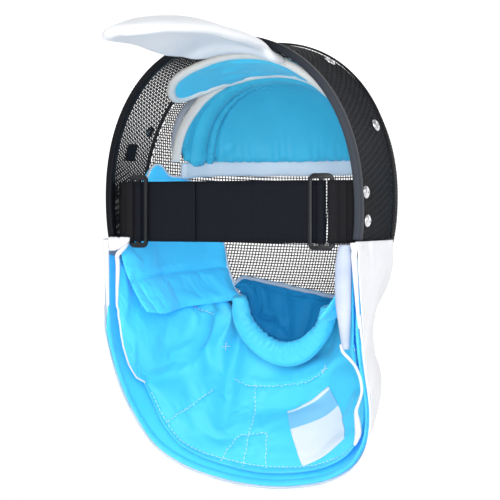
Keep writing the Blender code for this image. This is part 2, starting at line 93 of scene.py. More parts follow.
def shown(name, data):
    """Object with the data, linked to the scene."""
    obj = bpy.data.objects.new(name, data)
    scene.collection.objects.link(obj)
    return obj


scene = bpy.context.scene
scene.view_settings.view_transform = "Standard"
lens = bpy.data.cameras.new("camera")
lens.lens = LENS
lens.sensor_width = 36.0
lens.shift_x = (PICTURE / 2 - MIDDLE_X) / PICTURE
lens.shift_y = (MIDDLE_Y - PICTURE / 2) / PICTURE
lens.clip_start, lens.clip_end = 0.05, 50.0
camera = shown("camera", lens)
camera.location = place((-math.sin(VIEW_TURN) * VIEW_FAR, math.cos(VIEW_TURN) * VIEW_FAR, 0.0))
camera.rotation_euler = (math.pi / 2, 0.0, math.pi + VIEW_TURN)
scene.camera = camera
print("camera at", [round(k, 3) for k in camera.location])


# %% Helpers for node trees
def rgb(r, g, b):
    return (r, g, b, 1.0)


def wire_up(node, wires):
    """Wires a node's inputs to sockets or sets them to values, by name (_ for a space)."""
    for key, value in wires.items():
        socket = node.inputs[key.replace("_", " ") if isinstance(key, str) else key]
        if isinstance(value, bpy.types.NodeSocket):
            node.id_data.links.new(value, socket)
        else:
            socket.default_value = value


def add_node(tree, kind, settings=None, first=(), **wires):
    """Node with its settings and its inputs, the first ones in their order, the rest by name."""
    node = tree.nodes.new(kind)
    for key, value in (settings or {}).items():
        setattr(node, key, value)
    wire_up(node, dict(enumerate(first)))
    wire_up(node, wires)
    return node


def new_material(name):
    """Empty material, with its tree and its shader."""
    mat = bpy.data.materials.new(name)
    mat.use_nodes = True
    return mat, mat.node_tree, mat.node_tree.nodes["Principled BSDF"]


def ramp_of(tree, factor, stops):
    """Colour ramp through stops of position and colour, driven by a socket."""
    ramp = add_node(tree, "ShaderNodeValToRGB", Fac=factor)
    while len(ramp.color_ramp.elements) < len(stops):
        ramp.color_ramp.elements.new(0.5)
    for element, (at, colour) in zip(ramp.color_ramp.elements, stops):
        element.position = at
        element.color = rgb(*colour)
    return ramp


print("node helpers ready")

# %% Light
ROOM_SHINES, ROOM_LOOKS = 0.36, 0.95
world = bpy.data.worlds.new("white_room")
world.use_nodes = True
sight = add_node(world.node_tree, "ShaderNodeLightPath")
seen = add_node(world.node_tree, "ShaderNodeMapRange", Value=sight.outputs["Is Camera Ray"],
                To_Min=ROOM_SHINES, To_Max=ROOM_LOOKS)
wire_up(world.node_tree.nodes["Background"], {"Color": rgb(1.0, 1.0, 1.0),
                                              "Strength": seen.outputs["Result"]})
scene.world = world

LAMPS = [                           # name, place from the mask (m), size (m), power (W)
    ("key", (-0.75, 1.6, 0.75), 0.9, 13.0),
    ("front", (-0.50, 1.30, -0.05), 0.6, 8.0),
    ("side", (-1.7, 0.1, 0.4), 1.2, 4.5),
    ("fill", (1.3, 1.3, 0.2), 1.2, 5.5),
    ("top", (0.1, -0.1, 1.7), 1.3, 4.0),
]
for name, where, size, power in LAMPS:
    lamp = bpy.data.lights.new(name, "AREA")
    lamp.energy = power
    lamp.size = size
    holder = shown("lamp_" + name, lamp)
    holder.location = where
    holder.rotation_euler = (-Vector(where)).to_track_quat("-Z", "Y").to_euler()
print("lamps:", [row[0] for row in LAMPS])

# %% Floor
FLOOR_Z, FLOOR_SIZE, SWEEP = -0.47, 5.0, 1.2
paper, tree, shader = new_material("paper_sweep")
grain = add_node(tree, "ShaderNodeTexNoise", Scale=2.0)
tint = ramp_of(tree, grain.outputs["Fac"], [(0.0, (0.93, 0.93, 0.935)), (1.0, (0.96, 0.96, 0.96))])
spot = add_node(tree, "ShaderNodeTexCoord")
parts = add_node(tree, "ShaderNodeSeparateXYZ", Vector=spot.outputs["Object"])
lit = add_node(tree, "ShaderNodeMapRange", Value=parts.outputs["Y"], From_Min=0.2, From_Max=-0.8,
               To_Max=0.65)                # the sweep glows towards its far wall
wire_up(shader, {"Base Color": tint.outputs["Color"], "Roughness": 0.9,
                 "Emission Strength": lit.outputs["Result"], "Emission Color": rgb(1.0, 1.0, 1.0)})
bm = bmesh.new()
sweep_path = [(-FLOOR_SIZE, 0.0)] + [
    (FLOOR_SIZE - SWEEP + SWEEP * math.sin(t), SWEEP - SWEEP * math.cos(t))
    for t in np.linspace(0.0, math.pi / 2, 16)] + [(FLOOR_SIZE, 4.0)]
rows = [[bm.verts.new((x, -d, FLOOR_Z + h)) for x in (-FLOOR_SIZE, FLOOR_SIZE)]
        for d, h in sweep_path]
for low, high in zip(rows, rows[1:]):
    bm.faces.new((low[0], low[1], high[1], high[0]))
mesh = bpy.data.meshes.new("floor")
bm.to_mesh(mesh)
bm.free()
mesh.materials.append(paper)
mesh.shade_smooth()
floor = shown("floor", mesh)
print("floor", FLOOR_SIZE * 2, "m wide")

# %% [markdown]
# ## Finishes
# Five families of finish cover the mask: black painted wire, moulded plastic, nickel-plated
# steel, woven elastic, and cloth, which is either light blue satin or smooth white.  Each is a
# small node tree.  Noise shifts the colour a little and drives a fine bump, so no surface is
# one flat colour, and cloth takes a soft sheen on its own sockets.  The satin of the pads has
# a weak glow besides, which stands for the light that comes to them through net and thin cloth.


# %% A helper for cloth and plastics
GLOW = rgb(0.03, 0.35, 0.95)


def finish(name, dark, light, rough, scale, bump, metal=0.0, sheen=0.0,
           stretch=(1.0, 1.0, 1.0), shine=0.4, glow=0.0):
    """Material whose colour drifts between two tones and whose surface has a fine grain."""
    mat, tree, shader = new_material(name)
    where = add_node(tree, "ShaderNodeTexCoord")
    turn = add_node(tree, "ShaderNodeMapping", Vector=where.outputs["Object"], Scale=stretch)
    drift = add_node(tree, "ShaderNodeTexNoise", Vector=turn.outputs["Vector"], Scale=22.0,
                     Detail=3.0)
    ramp = ramp_of(tree, drift.outputs["Fac"], [(0.3, dark), (0.7, light)])
    grain = add_node(tree, "ShaderNodeTexNoise", Vector=turn.outputs["Vector"], Scale=scale,
                     Detail=4.0)
    relief = add_node(tree, "ShaderNodeBump", Height=grain.outputs["Fac"], Strength=bump,
                      Distance=0.0003)
    gloss = add_node(tree, "ShaderNodeMapRange", Value=grain.outputs["Fac"],
                     To_Min=max(0.02, rough - 0.08), To_Max=rough + 0.08)
    wire_up(shader, {
        "Base Color": ramp.outputs["Color"], "Normal": relief.outputs["Normal"],
        "Roughness": gloss.outputs["Result"], "Metallic": metal, "Sheen Weight": sheen,
        "Sheen Roughness": 0.4, "Specular IOR Level": shine, "Emission Color": GLOW,
        "Emission Strength": glow})
    return mat


# %% Wire, plastics and steel
wire_paint = finish("wire_paint", (0.009, 0.010, 0.013), (0.016, 0.017, 0.021), 0.45, 900.0, 0.3,
                    shine=0.22)
trim_rubber = finish("trim_rubber", (0.006, 0.007, 0.010), (0.010, 0.011, 0.014), 0.42,
                     700.0, 0.15, shine=0.07)
tree = trim_rubber.node_tree         # painted highlight: the channel's right leg is painted paler, where light falls on it
shader = tree.nodes["Principled BSDF"]
spot = add_node(tree, "ShaderNodeTexCoord")
parts = add_node(tree, "ShaderNodeSeparateXYZ", Vector=spot.outputs["Object"])
painted_highlight = add_node(tree, "ShaderNodeMapRange", Value=parts.outputs["X"], From_Min=-0.03,
                From_Max=-0.10)
blend = add_node(tree, "ShaderNodeMix", {"data_type": "RGBA"}, Factor=painted_highlight.outputs["Result"],
                 A=shader.inputs["Base Color"].links[0].from_socket, B=rgb(0.048, 0.054, 0.068))
wire_up(shader, {"Base Color": blend.outputs["Result"]})
seam_vinyl = finish("seam_vinyl", (0.006, 0.006, 0.008), (0.010, 0.010, 0.013), 0.45, 600.0, 0.2,
                    shine=0.15)
buckle_plastic = finish("buckle_plastic", (0.007, 0.008, 0.011), (0.012, 0.013, 0.017), 0.34,
                        1200.0, 0.25, shine=0.25)
nickel = finish("nickel_steel", (0.66, 0.66, 0.68), (0.82, 0.82, 0.84), 0.24, 300.0, 0.1,
                metal=1.0, stretch=(1.0, 1.0, 4.0))
patch_tape = finish("patch_tape", (0.008, 0.008, 0.010), (0.014, 0.014, 0.016), 0.75,
                    1400.0, 0.5, shine=0.1)

# %% Cloth
BLUE_DARK, BLUE_LIGHT = (0.070, 0.63, 0.93), (0.092, 0.69, 0.98)
SOFT = {"sheen": 0.2, "shine": 0.3}
satin = finish("blue_satin", BLUE_DARK, BLUE_LIGHT, 0.54, 1300.0, 0.25, **SOFT)
white_vinyl = finish("white_vinyl", (0.80, 0.82, 0.86), (0.86, 0.88, 0.91), 0.42, 900.0, 0.35)
white_cloth = finish("white_cloth", (0.80, 0.81, 0.85), (0.86, 0.87, 0.90), 0.7, 1500.0, 0.4,
                     sheen=0.2)
binding_cloth = finish("binding_cloth", (0.70, 0.78, 0.86), (0.80, 0.86, 0.92), 0.6, 1500.0,
                       0.4, sheen=0.15)
# painted shade: white binding coloured grey-blue, for bindings that lie in shade under the chin and
# beside the forehead cap
binding_grey = finish("binding_grey", (0.36, 0.42, 0.52), (0.46, 0.52, 0.62), 0.6, 1500.0, 0.4,
                      sheen=0.15)
cream_cloth = finish("cream_cloth", (0.74, 0.76, 0.76), (0.84, 0.85, 0.84), 0.6, 1500.0, 0.4,
                     sheen=0.15)
# painted shade: a darker copy of the blue satin, for the chin cup where it lies in shade deep
# inside the mask
satin_shade = finish("satin_shade", (0.008, 0.19, 0.42), (0.014, 0.24, 0.50), 0.6, 1300.0, 0.25,
                     shine=0.1)
satin_pad = finish("pad_satin", BLUE_DARK, BLUE_LIGHT, 0.54, 1300.0, 0.25, glow=0.26, **SOFT)
# painted shade: the white flap is coloured blue-grey, for the shadow that falls on it
flap_cloth = finish("flap_cloth", (0.38, 0.48, 0.68), (0.64, 0.69, 0.80), 0.7, 1500.0, 0.4)
# painted shade: a darker copy of the blue satin for the forehead cap, which lies in shadow under
# the hood
satin_cap_painted_shade = finish("cap_satin", (0.050, 0.50, 0.74), (0.066, 0.57, 0.82), 0.52, 1300.0, 0.25,
                   **SOFT)
thread_white = finish("thread_white", (0.72, 0.86, 0.94), (0.84, 0.92, 0.97), 0.6, 2000.0, 0.3)
thread_blue = finish("thread_blue", (0.01, 0.20, 0.55), (0.02, 0.28, 0.65), 0.6, 2000.0, 0.3)


def woven(name, dark, light, pitch, rough):
    """Webbing: ribs across a ribbon, read from its own UV map, whose unit is the metre."""
    mat, tree, shader = new_material(name)
    own = add_node(tree, "ShaderNodeUVMap", {"uv_map": "flat"}).outputs["UV"]
    ribs, picks = (add_node(tree, "ShaderNodeTexWave", {"bands_direction": way}, Vector=own,
                            Scale=0.314 / step) for way, step in (("X", pitch), ("Y", pitch * 0.8)))
    blend = add_node(tree, "ShaderNodeMath", {"operation": "MULTIPLY"},
                     (ribs.outputs["Fac"], picks.outputs["Fac"])).outputs["Value"]
    tone = add_node(tree, "ShaderNodeMix", {"data_type": "RGBA"}, Factor=blend, A=rgb(*dark),
                    B=rgb(*light))
    relief = add_node(tree, "ShaderNodeBump", Height=blend, Strength=0.5, Distance=0.0003)
    wire_up(shader, {"Base Color": tone.outputs["Result"], "Normal": relief.outputs["Normal"],
                     "Roughness": rough, "Specular IOR Level": 0.12})
    return mat


LABEL_TALL = 0.046
LABEL_STOPS = [(0.0, (0.86, 0.90, 0.93)), (0.075, (0.24, 0.60, 0.86)), (0.52, (0.80, 0.84, 0.90))]


def label_material():
    """Woven label: white head, light blue field, white foot, by height on its own UV map."""
    mat, tree, shader = new_material("label_weave")
    own = add_node(tree, "ShaderNodeUVMap", {"uv_map": "flat"}).outputs["UV"]
    parts = add_node(tree, "ShaderNodeSeparateXYZ", Vector=own)
    share = add_node(tree, "ShaderNodeMath", {"operation": "DIVIDE"},
                     (parts.outputs["Y"], LABEL_TALL))
    ramp = ramp_of(tree, share.outputs["Value"], LABEL_STOPS)
    ramp.color_ramp.interpolation = "CONSTANT"
    weft = add_node(tree, "ShaderNodeTexWave", {"bands_direction": "Y"}, Vector=own, Scale=600.0)
    relief = add_node(tree, "ShaderNodeBump", Height=weft.outputs["Fac"], Strength=0.3,
                      Distance=0.0002)
    wire_up(shader, {"Base Color": ramp.outputs["Color"], "Normal": relief.outputs["Normal"],
                     "Roughness": 0.55})
    return mat


label_weave = label_material()
elastic = woven("elastic_web", (0.005, 0.006, 0.010), (0.012, 0.015, 0.022), 0.0011, 0.72)
webbing = woven("anchor_web", (0.008, 0.008, 0.010), (0.020, 0.020, 0.024), 0.0014, 0.7)
print("finishes:", len(bpy.data.materials))

# %% [markdown]
# ## The basket's shape
# The net's outline is a superellipse: a circle pulled into a rounded box.  The hood band runs
# from the rim to the seam, and the face is a dome ahead of it.  The same few sizes give both,
# so the wires, the pads and the bib that touch the net all follow one surface.

# %% Sizes of the basket (mm)
RIM_HALF, SEAM_HALF = 115.3, 118.5
RIM_TOP, SEAM_TOP, JAW_DROP = 136.0, 138.0, 127.0
ROUND = 2.18
SEAM_DEPTH, SEAM_RAKE, RIM_RAKE = 64.0, 0.08, 0.044
FACE_DEPTH, FACE_CUT = 112.0, 34.0  # bulge ahead of the seam, and the dome's middle behind it
DOME = (1.0 - (FACE_CUT / (FACE_CUT + FACE_DEPTH)) ** ROUND) ** (-1 / ROUND)
NET = 1.8
JAW_REAR, JAW_SEAM, JAW_CHIN = -34.0, -85.0, -92.0
GAP = 0.3
STRAP_TOP, STRAP_WIDTH, WEB = 20.0, 50.0, 1.6
SHELL, FACING, LINING, CUP, TAPE, LABEL = 0.9, 0.7, 1.4, 2.4, 1.1, 0.5     # sheets' thickness
SIDES = ((1, "left"), (-1, "right"))


def lerp(a, b, t):
    return a + (b - a) * t


def smooth(t):
    t = min(1.0, max(0.0, t))
    return t * t * (3.0 - 2.0 * t)


def read(table, column, t):
    """Smooth value of a table's column at t from 0 (first row) to 1 (last row)."""
    last = len(table) - 1
    x = min(max(t, 0.0), 1.0) * last
    i = min(int(x), last - 1)
    f = x - i
    v = [table[min(max(k, 0), last)][column] for k in (i - 1, i, i + 1, i + 2)]
    m1 = (v[2] - v[0]) * 0.5
    m2 = (v[3] - v[1]) * 0.5
    return ((2 * f ** 3 - 3 * f ** 2 + 1) * v[1] + (f ** 3 - 2 * f ** 2 + f) * m1
            + (-2 * f ** 3 + 3 * f ** 2) * v[2] + (f ** 3 - f ** 2) * m2)


# %% Points on the hood band
def outline(t, half, top, off=0.0):
    """Point of the net's outline at angle t, moved outwards by off."""
    c, s = math.cos(t), math.sin(t)
    tall = top if s > 0 else JAW_DROP
    x = half * math.copysign(abs(c) ** (2 / ROUND), c)
    z = tall * math.copysign(abs(s) ** (2 / ROUND), s)
    gx = math.copysign(abs(x / half) ** (ROUND - 1) / half, x)
    gz = math.copysign(abs(z / tall) ** (ROUND - 1) / tall, z)
    g = math.hypot(gx, gz)
    return x + off * gx / g, z + off * gz / g


def angle_at(z):
    """Outline angle on the left side at a height below the elastic's middle."""
    return -math.asin((abs(z) / JAW_DROP) ** (ROUND / 2))


def depth_y(share, z):
    """Y at a share of the way from the rim (0) to the seam (1)."""
    return lerp(RIM_RAKE * z, -(SEAM_DEPTH + SEAM_RAKE * z), share)


def band(u, share, off=0.0, low=None, back=0.0):
    """Hood band: u from 0 (left jaw) over the crown to 1 (right jaw)."""
    low = lerp(JAW_REAR, JAW_SEAM, share) if low is None else low
    start = angle_at(low)
    t = lerp(start, math.pi - start, u)
    x, z = outline(t, lerp(RIM_HALF, SEAM_HALF, share), lerp(RIM_TOP, SEAM_TOP, share), off)
    return Vector((x, depth_y(share, z) + back, z))


# %% Points on the face and on the walls
def face(x, z, off=0.0):
    """Y of the face net in front of a point, its surface shrunk by -off."""
    half, tall = SEAM_HALF * DOME + off, (SEAM_TOP if z > 0 else JAW_DROP) * DOME + off
    inside = max(1.0 - abs(x / half) ** ROUND - abs(z / tall) ** ROUND, 0.0)
    middle = SEAM_DEPTH - FACE_CUT + SEAM_RAKE * z
    return -middle - (FACE_DEPTH + FACE_CUT + off) * inside ** (1 / ROUND)


def wall(deep, z, off=0.0):
    """Half width of the basket at a depth and a height, shrunk by -off."""
    seam = SEAM_DEPTH + SEAM_RAKE * z
    share = min(max(deep / seam, 0.0), 1.0)
    tall = lerp(RIM_TOP, SEAM_TOP, share) if z > 0 else JAW_DROP
    half = lerp(RIM_HALF, SEAM_HALF, share)
    ahead = 0.0
    if deep > seam:
        half, tall = half * DOME, tall * DOME
        ahead = (deep - seam + FACE_CUT) / (FACE_DEPTH + FACE_CUT + off)
    inside = max(0.0, 1.0 - abs(z / (tall + off)) ** ROUND - ahead ** ROUND)
    return (half + off) * inside ** (1 / ROUND)


def jaw_height(deep):
    """Lower boundary of the net at a depth."""
    if deep < SEAM_DEPTH:
        return lerp(JAW_REAR, JAW_SEAM, max(deep, 0.0) / SEAM_DEPTH)
    return lerp(JAW_SEAM, JAW_CHIN, min((deep - SEAM_DEPTH) / 80.0, 1.0))


print("basket", 2 * SEAM_HALF, "mm wide,", SEAM_DEPTH + FACE_DEPTH, "mm deep")


# %% Helpers that turn points into pieces
def new_piece(name, points, faces, mat, uv=None):
    """Mesh object from points in millimetres, with smooth faces and one material."""
    mesh = bpy.data.meshes.new(name)
    mesh.from_pydata([place(p) for p in points], [], faces)
    mesh.materials.append(mat)
    if uv is not None:
        layer = mesh.uv_layers.new(name="flat")
        for loop in mesh.loops:
            layer.data[loop.index].uv = uv[loop.vertex_index]
    bm = bmesh.new()
    bm.from_mesh(mesh)
    bmesh.ops.delete(bm, geom=[v for v in bm.verts if not v.link_faces], context="VERTS")
    bmesh.ops.recalc_face_normals(bm, faces=bm.faces[:])
    bm.to_mesh(mesh)
    bm.free()
    mesh.shade_smooth()
    return shown(name, mesh)


def grid_of(fn, nu, nv):
    """Values of fn(u, v), points or pairs, as an array of nu + 1 by nv + 1 of them."""
    return np.array([[list(fn(i / nu, j / nv)) for j in range(nv + 1)] for i in range(nu + 1)])


def normals_of(grid):
    """Unit normals of a grid of points, du x dv."""
    du = np.gradient(grid, axis=0)
    dv = np.gradient(grid, axis=1)
    cross = np.cross(du, dv)
    return cross / np.maximum(np.linalg.norm(cross, axis=2, keepdims=True), 1e-9)


def lengths_of(grid):
    """Arc lengths along both ways of a grid, in metres, for its UV map."""
    du = np.linalg.norm(np.diff(grid, axis=0), axis=2)
    dv = np.linalg.norm(np.diff(grid, axis=1), axis=2)
    along = np.concatenate([np.zeros((1, grid.shape[1])), np.cumsum(du, axis=0)])
    across = np.concatenate([np.zeros((grid.shape[0], 1)), np.cumsum(dv, axis=1)], axis=1)
    return np.stack([along, across], axis=2) * 0.001


def quads(nu, nv, start=0, flip=False):
    """Faces of a grid of points numbered from start."""
    out = []
    for i in range(nu):
        for j in range(nv):
            a = start + i * (nv + 1) + j
            q = (a, a + nv + 1, a + nv + 2, a + 1)
            out.append(q[::-1] if flip else q)
    return out


def slab(name, grid, thick, mat):
    """Closed sheet: the grid moved half its thickness both ways along its normals."""
    nu, nv = grid.shape[0] - 1, grid.shape[1] - 1
    out = normals_of(grid) * (thick / 2)
    front, back = grid + out, grid - out
    uv = lengths_of(grid).reshape(-1, 2)
    count = (nu + 1) * (nv + 1)
    faces = quads(nu, nv) + quads(nu, nv, count, True)
    rim = ([i * (nv + 1) for i in range(nu + 1)]
           + [nu * (nv + 1) + j for j in range(1, nv + 1)]
           + [i * (nv + 1) + nv for i in range(nu - 1, -1, -1)]
           + list(range(nv - 1, 0, -1)))
    for a, b in zip(rim, rim[1:] + rim[:1]):
        faces.append((b, a, a + count, b + count))
    points = np.concatenate([front.reshape(-1, 3), back.reshape(-1, 3)])
    return new_piece(name, points, faces, mat, np.concatenate([uv, uv]))


def tube_faces(count, sides, closed=False):
    """Faces of a tube of rings of points, with flat ends unless the rings themselves close."""
    faces = [(i * sides + k, i * sides + (k + 1) % sides,
              (i + 1) % count * sides + (k + 1) % sides, (i + 1) % count * sides + k)
             for i in range(count if closed else count - 1) for k in range(sides)]
    if closed:
        return faces
    return faces + [tuple(range(sides))[::-1], tuple(range((count - 1) * sides, count * sides))]


def circle(sides):
    """Cosine and sine at each corner of a ring."""
    angles = [2 * math.pi * k / sides for k in range(sides)]
    return [(math.cos(t), math.sin(t)) for t in angles]


def oval(middle, wide, thick, sides):
    """Ring of points round the middle, its two half axes given as vectors."""
    return [middle + wide * c + thick * s for c, s in circle(sides)]


def sweep(name, path, radius, mat, sides=10, flat=1.0):
    """Round or flattened cord through points (mm); radius may be one number or a list."""
    count = len(path)
    radii = radius if hasattr(radius, "__len__") else [radius] * count
    points, uv = [], []
    up, run = None, 0.0
    for i, p in enumerate(path):
        behind = path[max(i - 1, 0)]
        tangent = (path[min(i + 1, count - 1)] - behind).normalized()
        if up is None:
            up = tangent.orthogonal().normalized()
        up = (up - tangent * up.dot(tangent)).normalized()
        side = tangent.cross(up)
        run += (p - behind).length if i else 0.0
        points += oval(p, up * (flat * radii[i]), side * radii[i], sides)
        uv += [(run * 0.001, k / sides) for k in range(sides)]
    return new_piece(name, points, tube_faces(count, sides), mat, uv)


def finish_piece(obj, slot_name, *nodes):
    """The piece rides on the body and stands for its CAD nodes; slot_name is not used."""
    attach(obj, BODY)
    if nodes:
        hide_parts(*nodes)
    print(obj.name, "has", len(obj.data.polygons), "faces")
    return obj


# %% [markdown]
# ## A small helper for Geometry Nodes
# Whatever repeats on the mask (the wires, the rivets, the stitches) is made by a node tree.
# One helper below makes a tree with named inputs.  Another runs it on a carrier mesh and keeps
# the result as a plain mesh, so nothing live is left on the finished piece.


# %% Trees with named inputs
def tree_with(name, inputs):
    """Geometry node group with a geometry input, the named inputs, and a geometry output."""
    tree = bpy.data.node_groups.new(name, "GeometryNodeTree")
    tree.interface.new_socket("Geometry", in_out="INPUT", socket_type="NodeSocketGeometry")
    for label, kind, value in inputs:
        socket = tree.interface.new_socket(label, in_out="INPUT", socket_type="NodeSocket" + kind)
        if value is not None:
            socket.default_value = value
    tree.interface.new_socket("Geometry", in_out="OUTPUT", socket_type="NodeSocketGeometry")
    return tree, tree.nodes.new("NodeGroupInput"), tree.nodes.new("NodeGroupOutput")


def made_plain(obj):
    """Mesh of the object as its modifiers or its curve leave it."""
    bpy.context.view_layer.update()
    ready = obj.evaluated_get(bpy.context.evaluated_depsgraph_get())
    return bpy.data.meshes.new_from_object(ready)


def grow_nodes(carrier, tree, name, values):
    """Runs the tree on the carrier and returns the result as a plain mesh object."""
    mod = carrier.modifiers.new("nodes", "NODES")
    mod.node_group = tree
    for item in tree.interface.items_tree:
        if item.item_type == "SOCKET" and item.in_out == "INPUT" and item.name in values:
            mod[item.identifier] = values[item.name]
    mesh = made_plain(carrier)
    mesh.name = name
    bpy.data.objects.remove(carrier, do_unlink=True)
    return shown(name, mesh)


# %% [markdown]
# ## Cloth that settles
# A pad or a lining is drawn slightly plain, then a short cloth simulation lets it swell and
# buckle between its seams.  Points on seams are pinned, and no point may move further than a
# cap.  Afterwards the grid is refined and the narrow seams and puckers are pressed in.


# %% Cloth simulation
def settle(points, faces, pinned, pressure, grow, cap, bend, frames=18):
    """Points (mm) after cloth has swelled between its pinned points, moved at most the cap."""
    obj = new_piece("cloth_draft", points, faces, satin)
    pins = obj.vertex_groups.new(name="pins")
    pins.add([int(k) for k in np.flatnonzero(pinned)], 1.0, "REPLACE")
    cloth = obj.modifiers.new("cloth", "CLOTH")
    setup = cloth.settings
    setup.quality = 5
    setup.mass = 0.2
    setup.tension_stiffness = setup.compression_stiffness = 12.0
    setup.shear_stiffness = 4.0
    setup.bending_stiffness = bend
    setup.effector_weights.gravity = 0.0
    setup.vertex_group_mass = "pins"
    setup.shrink_min = -grow
    setup.use_pressure = True
    setup.uniform_pressure_force = pressure
    cloth.collision_settings.use_collision = False
    cloth.point_cache.frame_end = frames
    for step in range(1, frames + 1):
        scene.frame_set(step)
    ready = obj.evaluated_get(bpy.context.evaluated_depsgraph_get())
    flat = np.empty(len(points) * 3)
    ready.data.vertices.foreach_get("co", flat)
    moved = flat.reshape(-1, 3) * 1000.0 + np.array(CONTACT)
    bpy.data.objects.remove(obj, do_unlink=True)
    scene.frame_set(1)
    shift = moved - points
    far = np.linalg.norm(shift, axis=1, keepdims=True)
    return points + shift * np.minimum(1.0, cap / np.maximum(far, 1e-9))


def settle_grid(grid, pinned, pressure, grow, **more):
    """The same for one open grid of points."""
    nu, nv = grid.shape[0] - 1, grid.shape[1] - 1
    out = settle(grid.reshape(-1, 3), quads(nu, nv), pinned.reshape(-1), pressure, grow, **more)
    return out.reshape(grid.shape)


def border_mask(shape):
    """True at the border of a grid."""
    border = np.zeros(shape, bool)
    border[0] = border[-1] = True
    border[:, 0] = border[:, -1] = True
    return border


def join_skins(front, back):
    """Points and faces of two skins that share their border, that border, the back's numbers."""
    border = border_mask(front.shape[:2]).reshape(-1)
    nu, nv = front.shape[0] - 1, front.shape[1] - 1
    remap = np.where(border, np.arange(len(border)), len(border) + np.cumsum(~border) - 1)
    faces = quads(nu, nv)
    faces += [tuple(int(remap[k]) for k in q) for q in quads(nu, nv, 0, True)]
    points = np.concatenate([front.reshape(-1, 3), back.reshape(-1, 3)[~border]])
    return points, faces, border, remap


def settle_pad(front, back, pinned, pressure, grow, **more):
    """The same for a closed pad of two skins that meet at their border."""
    points, faces, border, remap = join_skins(front, back)
    pinned = pinned.reshape(-1)
    pins = np.concatenate([pinned | border, pinned[~border]])
    out = settle(points, faces, pins, pressure, grow, **more)
    return out[:len(border)].reshape(front.shape), out[remap].reshape(front.shape)


def finer(grid):
    """Grid with new points half way between its own, on smooth curves through them."""
    for axis in (0, 1):
        g = np.moveaxis(grid, axis, 0)
        wide = np.concatenate([2 * g[:1] - g[1:2], g, 2 * g[-1:] - g[-2:-1]])
        mid = (9 * (wide[1:-2] + wide[2:-1]) - wide[:-3] - wide[3:]) / 16
        out = np.empty((2 * g.shape[0] - 1,) + g.shape[1:])
        out[0::2], out[1::2] = g, mid
        grid = np.moveaxis(out, 0, axis)
    return grid


def backwards(normals):
    """The normals of a grid, all turned over if they point forwards on the whole."""
    return normals if normals[..., 1].mean() > 0 else -normals


def skins(grid, half):
    """Front and back of a pad, its half thickness given at each point of the grid."""
    n = normals_of(grid)
    return grid + n * half[..., None], grid - n * half[..., None]


def crown(grid, thick, edge):
    """Half thickness of a crowned pad: nothing at its border, full beyond the edge width."""
    size = lengths_of(grid) * 1000.0
    along, across = size[..., 0], size[..., 1]
    near = np.minimum(np.minimum(along, along[-1:] - along),
                      np.minimum(across, across[:, -1:] - across))
    e = np.clip(near / edge, 0.0, 1.0)
    return 0.5 * thick * np.sqrt(np.maximum(0.0, 1.0 - (1.0 - e) ** 2))


def pad_piece(name, front, back, mat):
    """Closed mesh of a pad's two skins."""
    points, faces, border, _ = join_skins(front, back)
    uv = lengths_of(front).reshape(-1, 2)
    return new_piece(name, points, faces, mat, np.concatenate([uv, uv[~border]]))


# %% Lines pressed into cloth
def line_gap(spots, line):
    """Distance from points of the plane to a polyline, and the length run along it."""
    best = np.full(spots.shape[:-1], 1e9)
    run = np.zeros(spots.shape[:-1])
    start = 0.0
    for a, b in zip(line, line[1:]):
        a, b = np.array(a, float), np.array(b, float)
        long = float(np.linalg.norm(b - a))
        t = np.clip(((spots - a) @ (b - a)) / max(long * long, 1e-9), 0.0, 1.0)
        gap = np.linalg.norm(spots - (a + t[..., None] * (b - a)), axis=-1)
        closer = gap < best
        best = np.where(closer, gap, best)
        run = np.where(closer, start + t * long, run)
        start += long
    return best, run, start


def fold_relief(spots, rows):
    """Relief (mm) of folds, which fade at both ends: depth, width and the line itself."""
    height = np.zeros(spots.shape[:-1])
    for deep, wide, line in rows:
        gap, run, full = line_gap(spots, line)
        ends = np.clip(np.minimum(run, full - run) / (0.18 * full + 1e-6), 0.25, 1.0) ** 0.6
        height -= ends * deep * np.exp(-(gap / wide) ** 2)
        height += ends * 0.22 * deep * np.exp(-((gap - 2.1 * wide) / (1.2 * wide)) ** 2)
    return height


def seam_relief(spots, rows):
    """Relief (mm) of seams and the puckers beside them: depth, width, pucker, pitch, line."""
    height = np.zeros(spots.shape[:-1])
    for deep, wide, pucker, pitch, line in rows:
        gap, run, _ = line_gap(spots, line)
        core = np.exp(-(gap / wide) ** 2)
        height -= deep * core
        if pucker:
            drift = np.array([noise.noise(Vector((x * 0.11, deep * 3.0, pitch)))
                              for x in np.ravel(run)]).reshape(run.shape)
            wave = np.sin(2 * math.pi * (run / pitch + 1.3 * drift))
            fade = np.exp(-gap / (2.2 * wide + 3.0)) * (1.0 - 0.6 * core)
            height += pucker * wave * fade * (0.6 + 0.8 * np.abs(drift))
    return height


def crumple(spots, scale, size, seed):
    """Low soft unevenness of cloth (mm)."""
    flat = spots.reshape(-1, 2)
    out = [noise.fractal(Vector((x * scale, y * scale, seed)), 1.0, 2.0, 3) for x, y in flat]
    return size * np.array(out).reshape(spots.shape[:-1])


def on_grid(grid, u, v):
    """Point of a grid and its normal at fractions u and v."""
    nu, nv = grid.shape[0] - 1, grid.shape[1] - 1
    x, y = min(max(u, 0.0), 1.0) * nu, min(max(v, 0.0), 1.0) * nv
    i, j = min(int(x), nu - 1), min(int(y), nv - 1)
    a, b, c, d = grid[i, j], grid[i + 1, j], grid[i + 1, j + 1], grid[i, j + 1]
    s, t = x - i, y - j
    p = (a * (1 - s) + b * s) * (1 - t) + (d * (1 - s) + c * s) * t
    n = np.cross((b - a) + (c - d), (d - a) + (c - b))
    return Vector(p), Vector(n).normalized()


